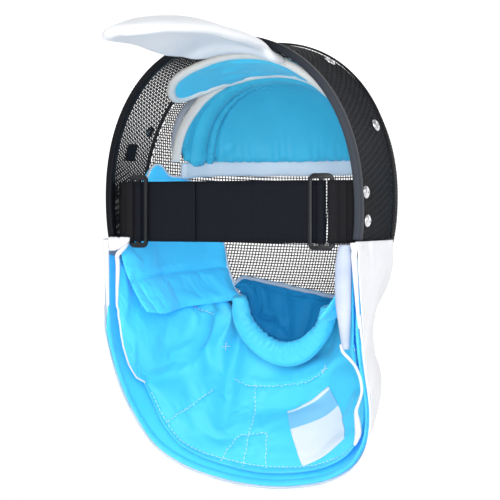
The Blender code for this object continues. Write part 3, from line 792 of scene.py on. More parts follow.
# %% Things set out along a line
set_out, start, end = tree_with("set_out", [
    ("Shape", "Object", None), ("Size", "Float", 1.0), ("Paint", "Material", None)])
shape = add_node(set_out, "GeometryNodeObjectInfo", Object=start.outputs["Shape"])
upright, ahead = (add_node(set_out, "GeometryNodeInputNamedAttribute",
                           {"data_type": "FLOAT_VECTOR"}, Name=label)
                  for label in ("facing", "along"))
stand = add_node(set_out, "FunctionNodeAlignRotationToVector", {"axis": "Z"},
                 Vector=upright.outputs["Attribute"])
turned = add_node(set_out, "FunctionNodeAlignRotationToVector", {"axis": "X", "pivot_axis": "Z"},
                  Rotation=stand.outputs["Rotation"], Vector=ahead.outputs["Attribute"])
copies = add_node(set_out, "GeometryNodeInstanceOnPoints", Points=start.outputs["Geometry"],
                  Instance=shape.outputs["Geometry"], Rotation=turned.outputs["Rotation"],
                  Scale=start.outputs["Size"])
solid = add_node(set_out, "GeometryNodeRealizeInstances", Geometry=copies.outputs["Instances"])
smoothed = add_node(set_out, "GeometryNodeSetShadeSmooth", Geometry=solid.outputs["Geometry"])
dressed = add_node(set_out, "GeometryNodeSetMaterial", Geometry=smoothed.outputs["Geometry"],
                   Material=start.outputs["Paint"])
wire_up(end, {"Geometry": dressed.outputs["Geometry"]})


def spread(name, spots, shape_obj, mat, size=1.0):
    """One mesh of the shape set out on spots, each a place (mm), a facing and a direction."""
    mesh = bpy.data.meshes.new(name)
    mesh.from_pydata([place(p) for p, _, _ in spots], [], [])
    for label, column in (("facing", 1), ("along", 2)):
        layer = mesh.attributes.new(label, "FLOAT_VECTOR", "POINT")
        layer.data.foreach_set("vector", [k for row in spots for k in row[column]])
    return grow_nodes(shown(name, mesh), set_out, name,
                      {"Shape": shape_obj, "Size": size, "Paint": mat})


def small_shape(name, rings, mat):
    """Solid at the origin, not shown itself, skinned over rings of points in millimetres."""
    mesh = bpy.data.meshes.new(name)
    mesh.from_pydata([Vector(p) * 0.001 for ring in rings for p in ring], [],
                     tube_faces(len(rings), len(rings[0])))
    mesh.materials.append(mat)
    return bpy.data.objects.new(name, mesh)


STITCH = [                          # place along the stitch, radius, lift (mm)
    (-1.5, 0.10, 0.0), (-0.75, 0.26, 0.21), (0.0, 0.30, 0.28), (0.75, 0.26, 0.21),
    (1.5, 0.10, 0.0)]
stitch_shape = small_shape("stitch_shape", [
    [(x, r * c, lift + r * s) for c, s in circle(6)] for x, r, lift in STITCH], thread_white)


def sew(spot, line, pitch, lift, wander=0.0):
    """Places for stitches: spot(u, v) gives a point and a normal, and line its fractions."""
    dense = []
    for (u0, v0), (u1, v1) in zip(line, line[1:]):
        for k in range(24):
            dense.append(spot(lerp(u0, u1, k / 24), lerp(v0, v1, k / 24)))
    dense.append(spot(*line[-1]))
    run = [0.0]
    for (a, _), (b, _) in zip(dense, dense[1:]):
        run.append(run[-1] + (b - a).length)
    out, at = [], pitch * 0.5
    k = 0
    while at < run[-1]:
        while run[k + 1] < at:
            k += 1
        t = (at - run[k]) / max(run[k + 1] - run[k], 1e-9)
        p, n = dense[k][0].lerp(dense[k + 1][0], t), dense[k][1]
        along = (dense[k + 1][0] - dense[k][0]).normalized()
        side = n.cross(along)
        p = p + n * lift + side * wander * noise.noise(p * 0.31)
        out.append((p, n, along))
        at += pitch
    return out


print("cloth and stitch tools ready")

# %% [markdown]
# ## The woven net
# Real masks are woven from steel wire 1 mm thick, about 3 mm from wire to wire, then pressed to
# shape and painted black.  Two families of wire cross, and each passes over one wire and under
# the next.  The carrier is a grid of the net's crossings.  The nodes push each crossing out for
# one family and in for the other, turn the grid's edges into curves, and give them a round
# profile.  Modelling the weave keeps the holes truly open from every side.

# %% The weaving tree
WIRE, PITCH, WIRE_SIDES = 1.0, 2.82, 6

weave, start, end = tree_with("weave_wires", [
    ("Wire radius", "Float", 0.0005), ("Sag", "Float", 0.0005), ("Sides", "Int", 6),
    ("Family", "Float", 1.0), ("Paint", "Material", None)])
over, family = (add_node(weave, "GeometryNodeInputNamedAttribute", {"data_type": "FLOAT"},
                         Name=label) for label in ("over", "warp"))
facing = add_node(weave, "GeometryNodeInputNormal")
ring = add_node(weave, "GeometryNodeCurvePrimitiveCircle", {"mode": "RADIUS"},
                Resolution=start.outputs["Sides"], Radius=start.outputs["Wire radius"])
shift = add_node(weave, "ShaderNodeMath", {"operation": "MULTIPLY"},
                 (over.outputs["Attribute"], start.outputs["Sag"]))
swing = add_node(weave, "ShaderNodeMath", {"operation": "MULTIPLY_ADD"},
                 (start.outputs["Family"], 2.0, -1.0))      # 1 or 0 becomes 1 or -1
side = add_node(weave, "ShaderNodeMath", {"operation": "MULTIPLY"},
                (shift.outputs["Value"], swing.outputs["Value"]))
push = add_node(weave, "ShaderNodeVectorMath", {"operation": "SCALE"},
                (facing.outputs["Normal"],), Scale=side.outputs["Value"])
bent = add_node(weave, "GeometryNodeSetPosition", Geometry=start.outputs["Geometry"],
                Offset=push.outputs["Vector"])
pick = add_node(weave, "FunctionNodeCompare", {"data_type": "FLOAT", "operation": "EQUAL"},
                (family.outputs["Attribute"], start.outputs["Family"]))
own = add_node(weave, "GeometryNodeSeparateGeometry", {"domain": "EDGE"},
               Geometry=bent.outputs["Geometry"], Selection=pick.outputs["Result"])
line = add_node(weave, "GeometryNodeMeshToCurve", Mesh=own.outputs["Selection"])
wires = add_node(weave, "GeometryNodeCurveToMesh", Curve=line.outputs["Curve"],
                 Profile_Curve=ring.outputs["Curve"], Fill_Caps=True)
soft = add_node(weave, "GeometryNodeSetShadeSmooth", Geometry=wires.outputs["Mesh"])
plain = add_node(weave, "GeometryNodeRealizeInstances", Geometry=soft.outputs["Geometry"])
dress = add_node(weave, "GeometryNodeSetMaterial", Geometry=plain.outputs["Geometry"],
                 Material=start.outputs["Paint"])
wire_up(end, {"Geometry": dress.outputs["Geometry"]})
print("weaving tree:", len(weave.nodes), "nodes")


# %% Crossings of the hood band
def net_carrier(name, points, faces, parity, warp_edges):
    """Mesh of crossings with the two attributes that the weaving tree reads."""
    mesh = bpy.data.meshes.new(name)
    mesh.from_pydata([place(p) for p in points], [], faces)
    over = mesh.attributes.new("over", "FLOAT", "POINT")
    over.data.foreach_set("value", parity)
    warp = mesh.attributes.new("warp", "FLOAT", "EDGE")
    warp.data.foreach_set("value", [1.0 if tuple(sorted(e.vertices)) in warp_edges else 0.0
                                    for e in mesh.edges])
    return shown(name, mesh)


def weave_grid(names, cells, spot):
    """Net woven from a dictionary of crossings, (i, j) to point, one piece for each family."""
    keys = sorted(cells)
    index = {k: n for n, k in enumerate(keys)}
    faces = []
    for i, j in keys:
        corners = [(i, j), (i + 1, j), (i + 1, j + 1), (i, j + 1)]
        if all(c in index for c in corners):
            faces.append(tuple(index[c] for c in corners))
    used = sorted({k for f in faces for k in f})
    slim = {k: n for n, k in enumerate(used)}
    faces = [tuple(slim[k] for k in f) for f in faces]
    points = [cells[keys[k]] for k in used]
    parity = [1.0 if sum(keys[k]) % 2 else -1.0 for k in used]
    warp = {tuple(sorted((slim[index[(i, j)]], slim[index[(i + 1, j)]]))) for i, j in keys
            if (i + 1, j) in index and index[(i, j)] in slim and index[(i + 1, j)] in slim}
    for name, family in zip(names, (1.0, 0.0)):
        carrier = net_carrier(name, points, faces, parity, warp)
        net = grow_nodes(carrier, weave, name, {
            "Wire radius": WIRE * 0.0005, "Sag": WIRE * 0.00052, "Sides": WIRE_SIDES,
            "Family": family, "Paint": wire_paint})
        finish_piece(net, "net", spot)


# %% Weave the hood band
def wire_row(share):
    """Points one pitch apart, by length, along the net at a share of the way to the seam."""
    path = np.array([list(band(k / 600, share, -NET / 2)) for k in range(601)])
    run = np.concatenate([[0.0], np.cumsum(np.linalg.norm(np.diff(path, axis=0), axis=1))])
    steps = np.linspace(0.0, run[-1], round(run[-1] / PITCH) + 1)
    return np.stack([np.interp(steps, run, path[:, k]) for k in range(3)], 1)


depth_rows = round(SEAM_DEPTH / PITCH)
around = len(wire_row(0.5)) - 1
side_cells = {}
for j in range(depth_rows + 1):
    row = wire_row(lerp(0.004, 0.994, j / depth_rows))
    row_run = np.linspace(0.0, 1.0, len(row))
    for i in range(around + 1):
        side_cells[(i, j)] = Vector([float(np.interp(i / around, row_run, row[:, k]))
                                     for k in range(3)])
print("hood band:", around, "wires by", depth_rows)
weave_grid(("side_wires_around", "side_wires_deep"), side_cells, "side_mesh")

# %% [markdown]
# ### Crossings of the face
# When flat wire cloth is pressed into a dome its wires keep their length, and only the angle
# between them changes.  The crossings are therefore laid out one after another: each new one
# lies one pitch from two neighbours and on the dome, which three equations settle.  Two first
# wires cross at the middle of the face, and the rest follow quarter by quarter.


# %% Crossings of the face
FACE_HALF, FACE_TALL = SEAM_HALF * DOME - NET / 2, SEAM_TOP * DOME - NET / 2
FACE_LOW, FACE_DEEP = JAW_DROP * DOME - NET / 2, FACE_DEPTH + FACE_CUT - NET / 2
DOME_MIDDLE = SEAM_DEPTH - FACE_CUT
STEPS = 66                          # wires from the middle of the face to its border, at most


def dome_gap(p):
    """How far points lie outside the dome (0 on it), and the gradient of that."""
    tall = np.where(p[:, 2] > 0, FACE_TALL, FACE_LOW)
    ahead = -(p[:, 1] + DOME_MIDDLE + SEAM_RAKE * p[:, 2])
    size = np.stack([np.full(len(p), FACE_HALF), np.full(len(p), FACE_DEEP), tall], 1)
    q = np.stack([p[:, 0], ahead, p[:, 2]], 1) / size
    power = np.abs(q) ** (ROUND - 1) * np.sign(q)
    gap = (np.abs(q) ** ROUND).sum(1) - 1.0
    slope = ROUND * power / size
    grad = np.stack([slope[:, 0], -slope[:, 1], slope[:, 2] - SEAM_RAKE * slope[:, 1]], 1)
    return gap, grad


def on_wire(first, ahead):
    """Crossings one pitch apart along the dome, starting at first in the direction ahead."""
    out, p = [first], first
    for _ in range(STEPS):
        guess = p + ahead * PITCH
        for _ in range(12):
            gap, grad = dome_gap(guess[None])
            guess = guess - grad[0] * gap[0] / (grad[0] @ grad[0])
            guess = p + (guess - p) * PITCH / np.linalg.norm(guess - p)
        ahead = (guess - p) / PITCH
        p = guess
        out.append(p)
    return out


def quarter(across, up):
    """Crossings of one quarter of the face, given its two first wires."""
    net = {(k, 0): p for k, p in enumerate(across)}
    net.update({(0, k): p for k, p in enumerate(up)})
    for diagonal in range(2, 2 * STEPS + 1):
        keys = [(i, j) for i, j in ((k, diagonal - k) for k in range(1, diagonal))
                if max(i, j) <= STEPS and {(i - 1, j), (i, j - 1), (i - 1, j - 1)} <= net.keys()]
        if not keys:
            break
        a = np.array([net[(i - 1, j)] for i, j in keys])
        b = np.array([net[(i, j - 1)] for i, j in keys])
        o = np.array([net[(i - 1, j - 1)] for i, j in keys])
        p = a + b - o
        for _ in range(14):
            gap, grad = dome_gap(p)
            rows = np.stack([2 * (p - a), 2 * (p - b), grad * 100.0], 1)
            miss = np.stack([((p - a) ** 2).sum(1) - PITCH ** 2,
                             ((p - b) ** 2).sum(1) - PITCH ** 2, gap * 100.0], 1)
            rows = rows + np.eye(3) * 1e-6
            p = p - np.clip(np.linalg.solve(rows, miss[..., None])[..., 0], -1.0, 1.0)
        gap, _ = dome_gap(p)
        good = ((np.abs(gap) < 1e-4) & (np.abs(np.linalg.norm(p - a, axis=1) - PITCH) < 0.02)
                & (np.linalg.norm(p - o, axis=1) > PITCH * 0.3)
                & (-(p[:, 1] + SEAM_DEPTH + SEAM_RAKE * p[:, 2]) > 0.1))
        net.update({k: q for k, q, fine in zip(keys, p, good) if fine})
    return net


middle = np.array([0.0, -(DOME_MIDDLE + FACE_DEEP), 0.0])
right_wire = on_wire(middle, np.array([1.0, 0.0, 0.0]))
face_cells = {}
for way, sign in ((1.0, 1), (-1.0, -1)):
    up_wire = on_wire(middle, np.array([0.0, 0.0, way]))
    for (i, j), p in quarter(right_wire, up_wire).items():
        for mirror in (1, -1):
            face_cells[(i * mirror, j * sign)] = Vector((p[0] * mirror, p[1], p[2]))
face_cells = {k: p for k, p in face_cells.items()
              if p.z > jaw_height(-p.y) - 1.0 and -(p.y + SEAM_DEPTH + SEAM_RAKE * p.z) > 0.3}
print("face crossings:", len(face_cells))
weave_grid(("face_wires_upright", "face_wires_level"), face_cells, "front_mesh")

# %% [markdown]
# ## Rim, seam bead and rivets
# A rubber channel is pressed over the cut wires at the rear rim, a thin bead covers the seam of
# hood and face, and eight nickel rivets hold the tongue's spring and the elastic's webbing.

# %% Rim channel and seam bead
RIM_PROFILE = [                     # offset from the net's outside, distance behind its end (mm)
    (1.25, -6.0), (2.0, -5.6), (2.15, -3.0), (2.15, 0.2), (1.7, 1.35), (0.6, 1.75),
    (-1.4, 1.8), (-2.9, 1.6), (-3.7, 0.9), (-3.85, -0.6), (-3.75, -4.6), (-3.3, -5.4),
    (-2.6, -5.2), (-2.5, -0.2), (-0.6, 0.2), (0.6, -0.2), (0.65, -5.6)]


def loft(name, rings, mat, closed=False):
    """Skin over rings of points, with flat ends unless the rings themselves close."""
    rings = np.array([[list(p) for p in ring] for ring in rings])
    count, sides = rings.shape[:2]
    run = np.concatenate([[0.0], np.cumsum(np.linalg.norm(np.diff(rings.mean(1), axis=0),
                                                          axis=1))]) * 0.001
    uv = [(run[i], k * 0.002) for i in range(count) for k in range(sides)]
    return new_piece(name, rings.reshape(-1, 3), tube_faces(count, sides, closed), mat, uv)


rim = loft("rim_channel", [[band(i / 180, 0.0, off, low=-27.0, back=back)
                            for off, back in RIM_PROFILE] for i in range(181)], trim_rubber)
finish_piece(rim, "rim_trim", "rim_trim")

bead_rings = [[band(i / 160, 1.0, GAP + 1.8 * math.sin(t) ** 0.8, low=-26.0,
                    back=-1.3 * math.cos(t)) for t in np.linspace(0.0, math.pi, 11)]
              for i in range(161)]
finish_piece(loft("seam_bead", bead_rings, seam_vinyl), "seam_strip", "seam_strip")

# %% Rivets
RIVETS = [                          # name, height (mm), share of the way to the seam
    ("crown", 119.0, 0.80), ("temple", 65.0, 0.80), ("strap_upper", 10.5, 0.19),
    ("strap_lower", -12.0, 0.23)]
RIVET_SHAPE = [                     # radius, height (mm)
    (5.2, 0.0), (5.25, 0.45), (4.9, 1.0), (4.1, 1.75), (3.0, 2.2), (2.1, 2.3), (1.5, 2.05),
    (1.0, 1.75), (0.3, 1.65)]
rivet_spots = []
for _, z, share in RIVETS:
    for side in (1, -1):
        half, top = lerp(RIM_HALF, SEAM_HALF, share), lerp(RIM_TOP, SEAM_TOP, share)
        t = math.asin((z / top) ** (ROUND / 2)) if z > 0 else angle_at(z)
        x, zz = outline(t, half, top, 0.15)
        gx = (abs(x) / half) ** (ROUND - 1) / half
        gz = math.copysign((abs(zz) / top) ** (ROUND - 1) / top, zz)
        rivet_spots.append((Vector((side * x, depth_y(share, zz), zz)),
                            Vector((side * gx, 0.0, gz)).normalized(), Vector((0.0, -1.0, 0.0))))
rivet_shape = small_shape("rivet_shape", [
    [(r * c, r * s, h) for c, s in circle(28)] for r, h in RIVET_SHAPE], nickel)
rivets = spread("rivets", rivet_spots, rivet_shape, nickel)
finish_piece(rivets, "rivet", *["rivet_%s_%s" % (row[0], side) for row in RIVETS
                                for side in ("left", "right")])

# %% Patch inside the net
def patch_place(u, v):
    deep, z = lerp(18.0, 34.0, u), lerp(53.0, 38.5, v)
    return wall(deep, z, -(NET + GAP + 0.8)), -deep, z


patch = slab("net_patch_tape", grid_of(patch_place, 16, 14), TAPE, patch_tape)
finish_piece(patch, "net_patch", "net_patch")

# %% [markdown]
# ## The bib
# The bib hangs from the net's lower edge round the throat.  Outside it is white cloth, inside it
# is faced with blue satin, and a padded hem runs along its free edge, with a thin white piping
# outside it.  The bib is drawn in at the throat and spreads again over the chest.

# %% The bib's surface
BIB_TOP, LEVEL_DEPTH, LEVEL_Z, CHIN_Z = -28.0, 92.0, -80.0, -90.0
BIB_OUT = 1.4                       # how far the bib's upper edge lies outside the net (mm)
DROP_REAR, DROP_FRONT = 15 / 24, 11 / 24
LINING_GAP = 7.6
BIB_EDGE = [                        # height, half width, depth of the free edge
    (-107.0, 117.0, 0.0), (-134.0, 117.0, 10.0), (-160.0, 115.5, 22.5), (-188.0, 108.0, 36.0),
    (-206.0, 97.0, 42.0), (-218.0, 84.0, 46.0), (-233.0, 52.0, 53.0), (-240.0, 0.0, 57.0)]


def bib_top(a):
    """Upper edge of the bib, a from 0 (middle of the front) to 1 (rear edge)."""
    if a >= DROP_FRONT:
        rear = max(0.0, (a - DROP_REAR) / (1.0 - DROP_REAR))
        drop = max(0.0, (DROP_REAR - a) / (DROP_REAR - DROP_FRONT))
        deep = lerp(62.0, -7.0, rear) + (LEVEL_DEPTH - 62.0) * drop
        z = lerp(BIB_TOP, LEVEL_Z, drop)
        return wall(max(deep, 0.0), z, BIB_OUT), -deep, z
    f = a / DROP_FRONT
    z = lerp(CHIN_Z, LEVEL_Z, f)
    ring = (1.0 - (abs(z) / (JAW_DROP * DOME)) ** ROUND) ** (1 / ROUND)
    back = SEAM_DEPTH - FACE_CUT + SEAM_RAKE * z
    long = (FACE_DEPTH + FACE_CUT + BIB_OUT) * ring
    bend = f * math.acos(((LEVEL_DEPTH - back) / long) ** (ROUND / 2))
    x = (SEAM_HALF * DOME + BIB_OUT) * ring * math.sin(bend) ** (2 / ROUND)
    return x, -back - long * math.cos(bend) ** (2 / ROUND), z


def free_edge(t):
    """Height, half width and depth of the free edge, its table's corners rounded off."""
    total = np.zeros(3)
    for k in np.linspace(-0.07, 0.07, 5):
        s = t + k
        row = np.array([read(BIB_EDGE, n, min(s, 2.0 - s)) for n in range(3)])
        if s > 1.0:
            row[1] *= -1.0
        if s < 0.0:
            row = np.array([BIB_EDGE[0][0] - 190.0 * s, BIB_EDGE[0][1], 0.0])
        total += row / 5
    return total


def bib(u, v):
    """Bib: u from 0 (left rear edge) round the front to 1 (right rear edge), v down."""
    a = abs(2.0 * u - 1.0)
    side = 1.0 if u < 0.5 else -1.0
    z, half, deep = free_edge(1.0 - a)
    p = Vector(bib_top(a)).lerp(Vector((half, -deep, z)), v)
    bulge = 4.0 * v * (1.0 - v)
    p.y -= bulge * 16.0 * (1.0 - a * a)
    p.x += bulge * 5.0 * math.sin(a * math.pi) ** 2
    p.x -= 25.0 * smooth(v / 0.12) * math.exp(-((a - 0.55) / 0.18) ** 2
                                              - ((p.z + 98.0) / 30.0) ** 2)
    if p.z > jaw_height(-p.y) - 4.0:
        p.x = max(p.x, wall(-p.y, p.z, BIB_OUT + 2.2 * smooth(v / 0.1)))
    return Vector((p.x * side, p.y, p.z))


def bib_inside(u, v, inward):
    """The bib's surface moved inwards along its own normal."""
    e = 0.006
    across = bib(min(u + e, 1.0), v) - bib(max(u - e, 0.0), v)
    down = bib(u, min(v + e, 1.0)) - bib(u, max(v - e, 0.0))
    return bib(u, v) - across.cross(down).normalized() * inward


def lining_place(u, v, inward=LINING_GAP):
    """Lining inside the bib, its upper edge just below the net and tucked behind the pads."""
    share = lerp(0.022, 0.978, u)
    top, low = bib(share, 0.0), bib(share, 1.0)
    out = abs(2.0 * u - 1.0)
    tucked = smooth((out - 0.14) / 0.10) * (1.0 - smooth((out - 0.84) / 0.10))
    above = tucked * (14.0 - 5.0 * smooth((out - 0.42) / 0.14)) - 9.0
    start = (jaw_height(-top.y) + above - top.z) / (low.z - top.z)
    inward -= 4.2 * tucked * (1.0 - smooth(v / 0.09))
    return bib_inside(share, lerp(start, 0.955, v), inward)


# %% White shell and blue facing
BIB_N = (120, 36)
bib_grid = grid_of(bib, *BIB_N)
bib_spots = lengths_of(bib_grid) * 1000.0
ripple = 0.9 + np.clip(crumple(bib_spots * [1.0, 0.3], 0.035, 1.3, 3.0), -0.6, 1.4)
down = np.linspace(0.0, 1.0, BIB_N[1] + 1)[None, :]
top_fade = np.exp(-down / 0.10)
frill = np.array([noise.noise(Vector((k * 0.42, 0.0, 7.0))) for k in range(BIB_N[0] + 1)])[:, None]
low_fade = np.clip(down / 0.12, 0.0, 1.0)
shell_grid = finer(bib_grid + normals_of(bib_grid) * (
    0.45 + ripple * low_fade + (0.9 + 1.5 * frill) * top_fade)[..., None])
shell = slab("bib_shell", shell_grid, SHELL, white_cloth)
finish_piece(shell, "white_cloth", "bib")


def facing_place(u, v):
    """Blue facing inside the bib; its upper edge sits lower at the sides than in front."""
    top = 0.05 if 0.3 <= u <= 0.7 else 0.16
    return bib_inside(lerp(0.010, 0.990, u), lerp(top, 0.996, v), 0.8)


facing = slab("bib_facing", finer(grid_of(facing_place, *BIB_N)), FACING, satin_pad)
finish_piece(facing, "blue_satin", "bib")

# %% Padded hem
HEM_LOW, HEM_SIDE = 0.984, 0.70     # share of the way down, and where it starts at the rear
HEM_HALF, HEM_THICK = 2.9, 1.35     # half width and half thickness of its roll (mm)
HEM_STEP = 0.004


def hem_line(t):
    """Fractions u and v of the bib along its free edge, t from 0 (left) to 1 (right)."""
    if t < 0.04:
        return 0.0, lerp(HEM_SIDE, HEM_LOW, t / 0.04)
    if t > 0.96:
        return 1.0, lerp(HEM_LOW, HEM_SIDE, (t - 0.96) / 0.04)
    return (t - 0.04) / 0.92, HEM_LOW


def near_by(t):
    """A place along the hem between the ones just before it and just after it."""
    return max(t - HEM_STEP, 0.0), t, min(t + HEM_STEP, 1.0)


def hem_ring(t):
    """Flat oval round the hem at t, its long side lying on the facing."""
    last, here, ahead = (bib_inside(*hem_line(k), 2.6) for k in near_by(t))
    along = (ahead - last).normalized()
    u, v = hem_line(t)
    out = (bib(u, v) - bib_inside(u, v, 1.0)).normalized()
    side = along.cross(out).normalized()
    middle = here - side * 0.6
    puff = 1.0 + 0.16 * noise.noise(middle * 0.16) + 0.10 * math.sin(t * 760.0)
    full = lerp(0.3, 1.0, smooth(min(t, 1.0 - t) / 0.03))
    return oval(middle, side * (HEM_HALF * full * (0.96 + 0.04 * puff)),
                out * (HEM_THICK * full * puff), 16)


def hem_at(t):
    """Ring of the hem, whose roll stops one step short of either end."""
    return hem_ring(lerp(HEM_STEP, 1.0 - HEM_STEP, t))


hem = loft("bib_hem_roll", [hem_at(i / 620) for i in range(621)], satin)
finish_piece(hem, "blue_satin", "bib_hem")

# %% Rear edges and outer piping
PIPING_LOW = 0.016                  # how much lower than the hem it runs, as a share
path = []
for k in range(321):
    t = k / 320
    last, here, ahead = (bib(u, v + PIPING_LOW) for u, v in map(hem_line, near_by(t)))
    u, v = hem_line(t)
    out = (here - bib_inside(u, v + PIPING_LOW, 1.0)).normalized()
    away = out.cross((ahead - last).normalized())
    path.append(here + out * 1.0 + away * lerp(3.0, 1.4, smooth((min(t, 1 - t) - 0.03) / 0.03)))
finish_piece(sweep("bib_outer_piping", path, 1.0, white_cloth, 8), "white_cloth", "bib")
for edge, tag in ((0.0, "left"), (1.0, "right")):
    path = [bib_inside(edge, lerp(0.01, 0.86, k / 60), 1.5) for k in range(61)]
    radii = [lerp(2.5, 1.3, smooth(k / 60)) for k in range(61)]
    finish_piece(sweep("bib_rear_binding_" + tag, path, radii, white_cloth, 10), "white_cloth",
                 "bib")

# %% [markdown]
# ## The lining
# The blue lining is a loose padded cloth sewn to the bib along its edges.  It puffs between its
# seams and drops into deep folds under the chin.  Folds and seams are rows of a table: how deep
# and wide they are, how strongly the cloth puckers beside them, and the line they follow as
# fractions of the lining's width and height.

# %% Folds and seams of the lining
FOLDS = [                           # depth, width (mm), line
    (5.5, 8.0, [(0.258, 0.02), (0.285, 0.17), (0.318, 0.34), (0.372, 0.56)]),
    (6.5, 7.5, [(0.352, 0.00), (0.384, 0.20), (0.401, 0.49), (0.420, 0.71), (0.440, 0.83)]),
    (3.6, 9.0, [(0.150, 0.80), (0.200, 0.72), (0.248, 0.61), (0.300, 0.51)]),
    (1.8, 9.0, [(0.200, 0.40), (0.250, 0.36), (0.300, 0.36)]),
    (3.0, 7.0, [(0.455, 0.66), (0.500, 0.62), (0.545, 0.58)]),
    (3.5, 8.0, [(0.500, 0.30), (0.545, 0.24), (0.600, 0.20)]),
    (2.4, 7.0, [(0.700, 0.20), (0.730, 0.42), (0.720, 0.70)]),
    (2.6, 7.0, [(0.810, 0.15), (0.835, 0.40), (0.820, 0.75)]),
]
SWELLS = [                          # middle and spread (fractions), height (mm)
    (0.150, 0.46, 0.110, 0.30, 5.5), (0.335, 0.30, 0.028, 0.22, 2.5),
    (0.300, 0.80, 0.060, 0.14, 3.0), (0.500, 0.80, 0.090, 0.14, 2.5),
    (0.640, 0.50, 0.070, 0.24, 3.5), (0.770, 0.50, 0.050, 0.28, 3.0),
    (0.900, 0.45, 0.060, 0.26, 3.0), (0.460, 0.32, 0.045, 0.12, 2.0)]
SEAMS = [                           # depth, width, pucker, pitch (mm), line
    (1.6, 1.2, 0.32, 5.8, [(0.296, 0.925), (0.325, 0.84), (0.353, 0.756), (0.383, 0.613)]),
    (1.3, 1.1, 0.25, 5.2, [(0.222, 0.01), (0.238, 0.05), (0.267, 0.108)]),
    (1.4, 1.2, 0.25, 5.6, [(0.408, 0.481), (0.445, 0.512), (0.492, 0.485), (0.548, 0.450),
                           (0.582, 0.379)]),
    (1.4, 1.1, 0.22, 5.6, [(0.453, 0.487), (0.467, 0.704), (0.470, 0.825), (0.474, 0.985)]),
    (1.0, 1.0, 0.18, 4.6, [(0.440, 0.985), (0.446, 0.900), (0.451, 0.825), (0.498, 0.790),
                           (0.508, 0.985)]),
    (1.8, 1.4, 0.25, 5.0, [(0.196, 0.775), (0.267, 0.900), (0.367, 0.958), (0.500, 0.965),
                           (0.996, 0.962)]),
    (1.5, 1.3, 0.30, 5.4, [(0.060, 0.02), (0.100, 0.327)]),
]
LINING_FOOT = [                     # share of the width, share of the height at the lower edge
    (0.0, 0.72), (0.013, 0.755), (0.030, 0.84), (0.050, 0.90), (0.093, 0.920), (0.140, 0.880),
    (0.180, 0.790), (0.200, 0.810), (0.267, 0.930), (0.367, 0.985), (0.5, 1.0), (1.0, 1.0)]


def foot_at(u):
    """How far down the lining reaches, as a share of its full height."""
    return np.interp(u, *np.array(LINING_FOOT).T)


def laid(rows, wide, tall):
    """The rows with their lines laid out flat in millimetres."""
    return [row[:-1] + ([(u * wide, v * tall) for u, v in row[-1]],) for row in rows]


LINING_N = (144, 56)
lining_full = grid_of(lining_place, *LINING_N)
lining_base = grid_of(lambda u, v: lining_place(u, v * foot_at(u)), *LINING_N)
LINING_WIDE = float(np.linalg.norm(np.diff(lining_full, axis=0), axis=2).sum(0).mean())
LINING_TALL = float(np.linalg.norm(np.diff(lining_full, axis=1), axis=2).sum(1).mean())


def flat_grid(nu, nv):
    """Places of the grid's points on the lining laid out flat, and their distance to its edge."""
    a, b = np.meshgrid(np.linspace(0, 1, nu), np.linspace(0, 1, nv), indexing="ij")
    down = b * foot_at(a) * LINING_TALL
    edge = np.minimum(np.minimum(a, 1 - a) * LINING_WIDE,
                      np.minimum(down, (1 - b) * foot_at(a) * LINING_TALL))
    return np.stack([a * LINING_WIDE, down], 2), edge


coarse, to_edge = flat_grid(*lining_base.shape[:2])
edge_fade = np.clip(to_edge / 12.0, 0.0, 1.0)
flat_folds, flat_seams = (laid(rows, LINING_WIDE, LINING_TALL) for rows in (FOLDS, SEAMS))
relief = fold_relief(coarse, flat_folds) + crumple(coarse, 0.014, 1.2, 11.0)
for u, v, wide, tall, high in SWELLS:
    relief += high * np.exp(-((coarse[..., 0] / LINING_WIDE - u) / wide) ** 2
                            - ((coarse[..., 1] / LINING_TALL - v) / tall) ** 2)
relief = np.maximum(relief * 1.25, -6.5)
relief = np.where(relief < 0, relief * np.clip(coarse[..., 1] / 22.0, 0.2, 1.0), relief)
draft = lining_base + backwards(normals_of(lining_base)) * (
    (relief + 1.8) * edge_fade)[..., None]
pinned = edge_fade < 0.01
for row in flat_seams[:5]:
    pinned |= line_gap(coarse, row[-1])[0] < 1.7
lining = settle_grid(draft, pinned, pressure=0.8, grow=0.014, cap=4.0, bend=8.0, frames=20)
lining = finer(lining)
fine, _ = flat_grid(*lining.shape[:2])
lining = lining + backwards(normals_of(lining)) * (
    seam_relief(fine, flat_seams) + crumple(fine, 0.07, 0.22, 5.0))[..., None]
lining_piece = slab("lining", lining, LINING, satin)
finish_piece(lining_piece, "blue_satin", "bib_lining")
print("lining", round(LINING_WIDE), "by", round(LINING_TALL), "mm")

# %% [markdown]
# ## Cheek pads
# Each cheek pad is a quilted cushion against the inside of the net.  A sewn channel crosses it
# below the elastic, its cloth gathers beside that seam, and a pale binding closes its edge.

# %% Cheek pads
PAD, PAD_GAP = 11.5, 1.2            # thickness, and its distance from the net (mm)
CHEEK = [                           # depth, upper end, lower end (mm)
    (5.0, -33.0, -90.0), (17.0, -32.5, -91.5), (31.0, -30.0, -92.0), (43.0, 4.0, -91.0),
    (56.0, 31.0, -90.0), (70.0, 36.0, -89.0), (84.0, 27.0, -88.0), (98.0, 25.0, -86.5),
    (111.0, 21.0, -84.0)]
CHEEK_FRONT = [(0.0,), (11.0,), (17.5,), (19.5,), (19.0,), (15.0,), (10.0,), (4.0,)]
CHEEK_SEAM = [(4.0, -65.0), (60.0, -61.5), (134.0, -56.0)]
CHEEK_SIDE = [(14.0, -64.0), (17.0, -92.0)]


def cheek_spot(u, v):
    """Depth and height on a cheek pad, u forwards and v down."""
    z = lerp(read(CHEEK, 1, u), read(CHEEK, 2, u), v)
    return read(CHEEK, 0, u) + read(CHEEK_FRONT, 0, v) * smooth((u - 0.45) / 0.55), z


def cheek_place(u, v):
    """Point of the pad's middle surface."""
    deep, z = cheek_spot(u, v)
    return wall(deep, z, -NET - PAD_GAP - PAD / 2 * cheek_thin(u)), -deep, z


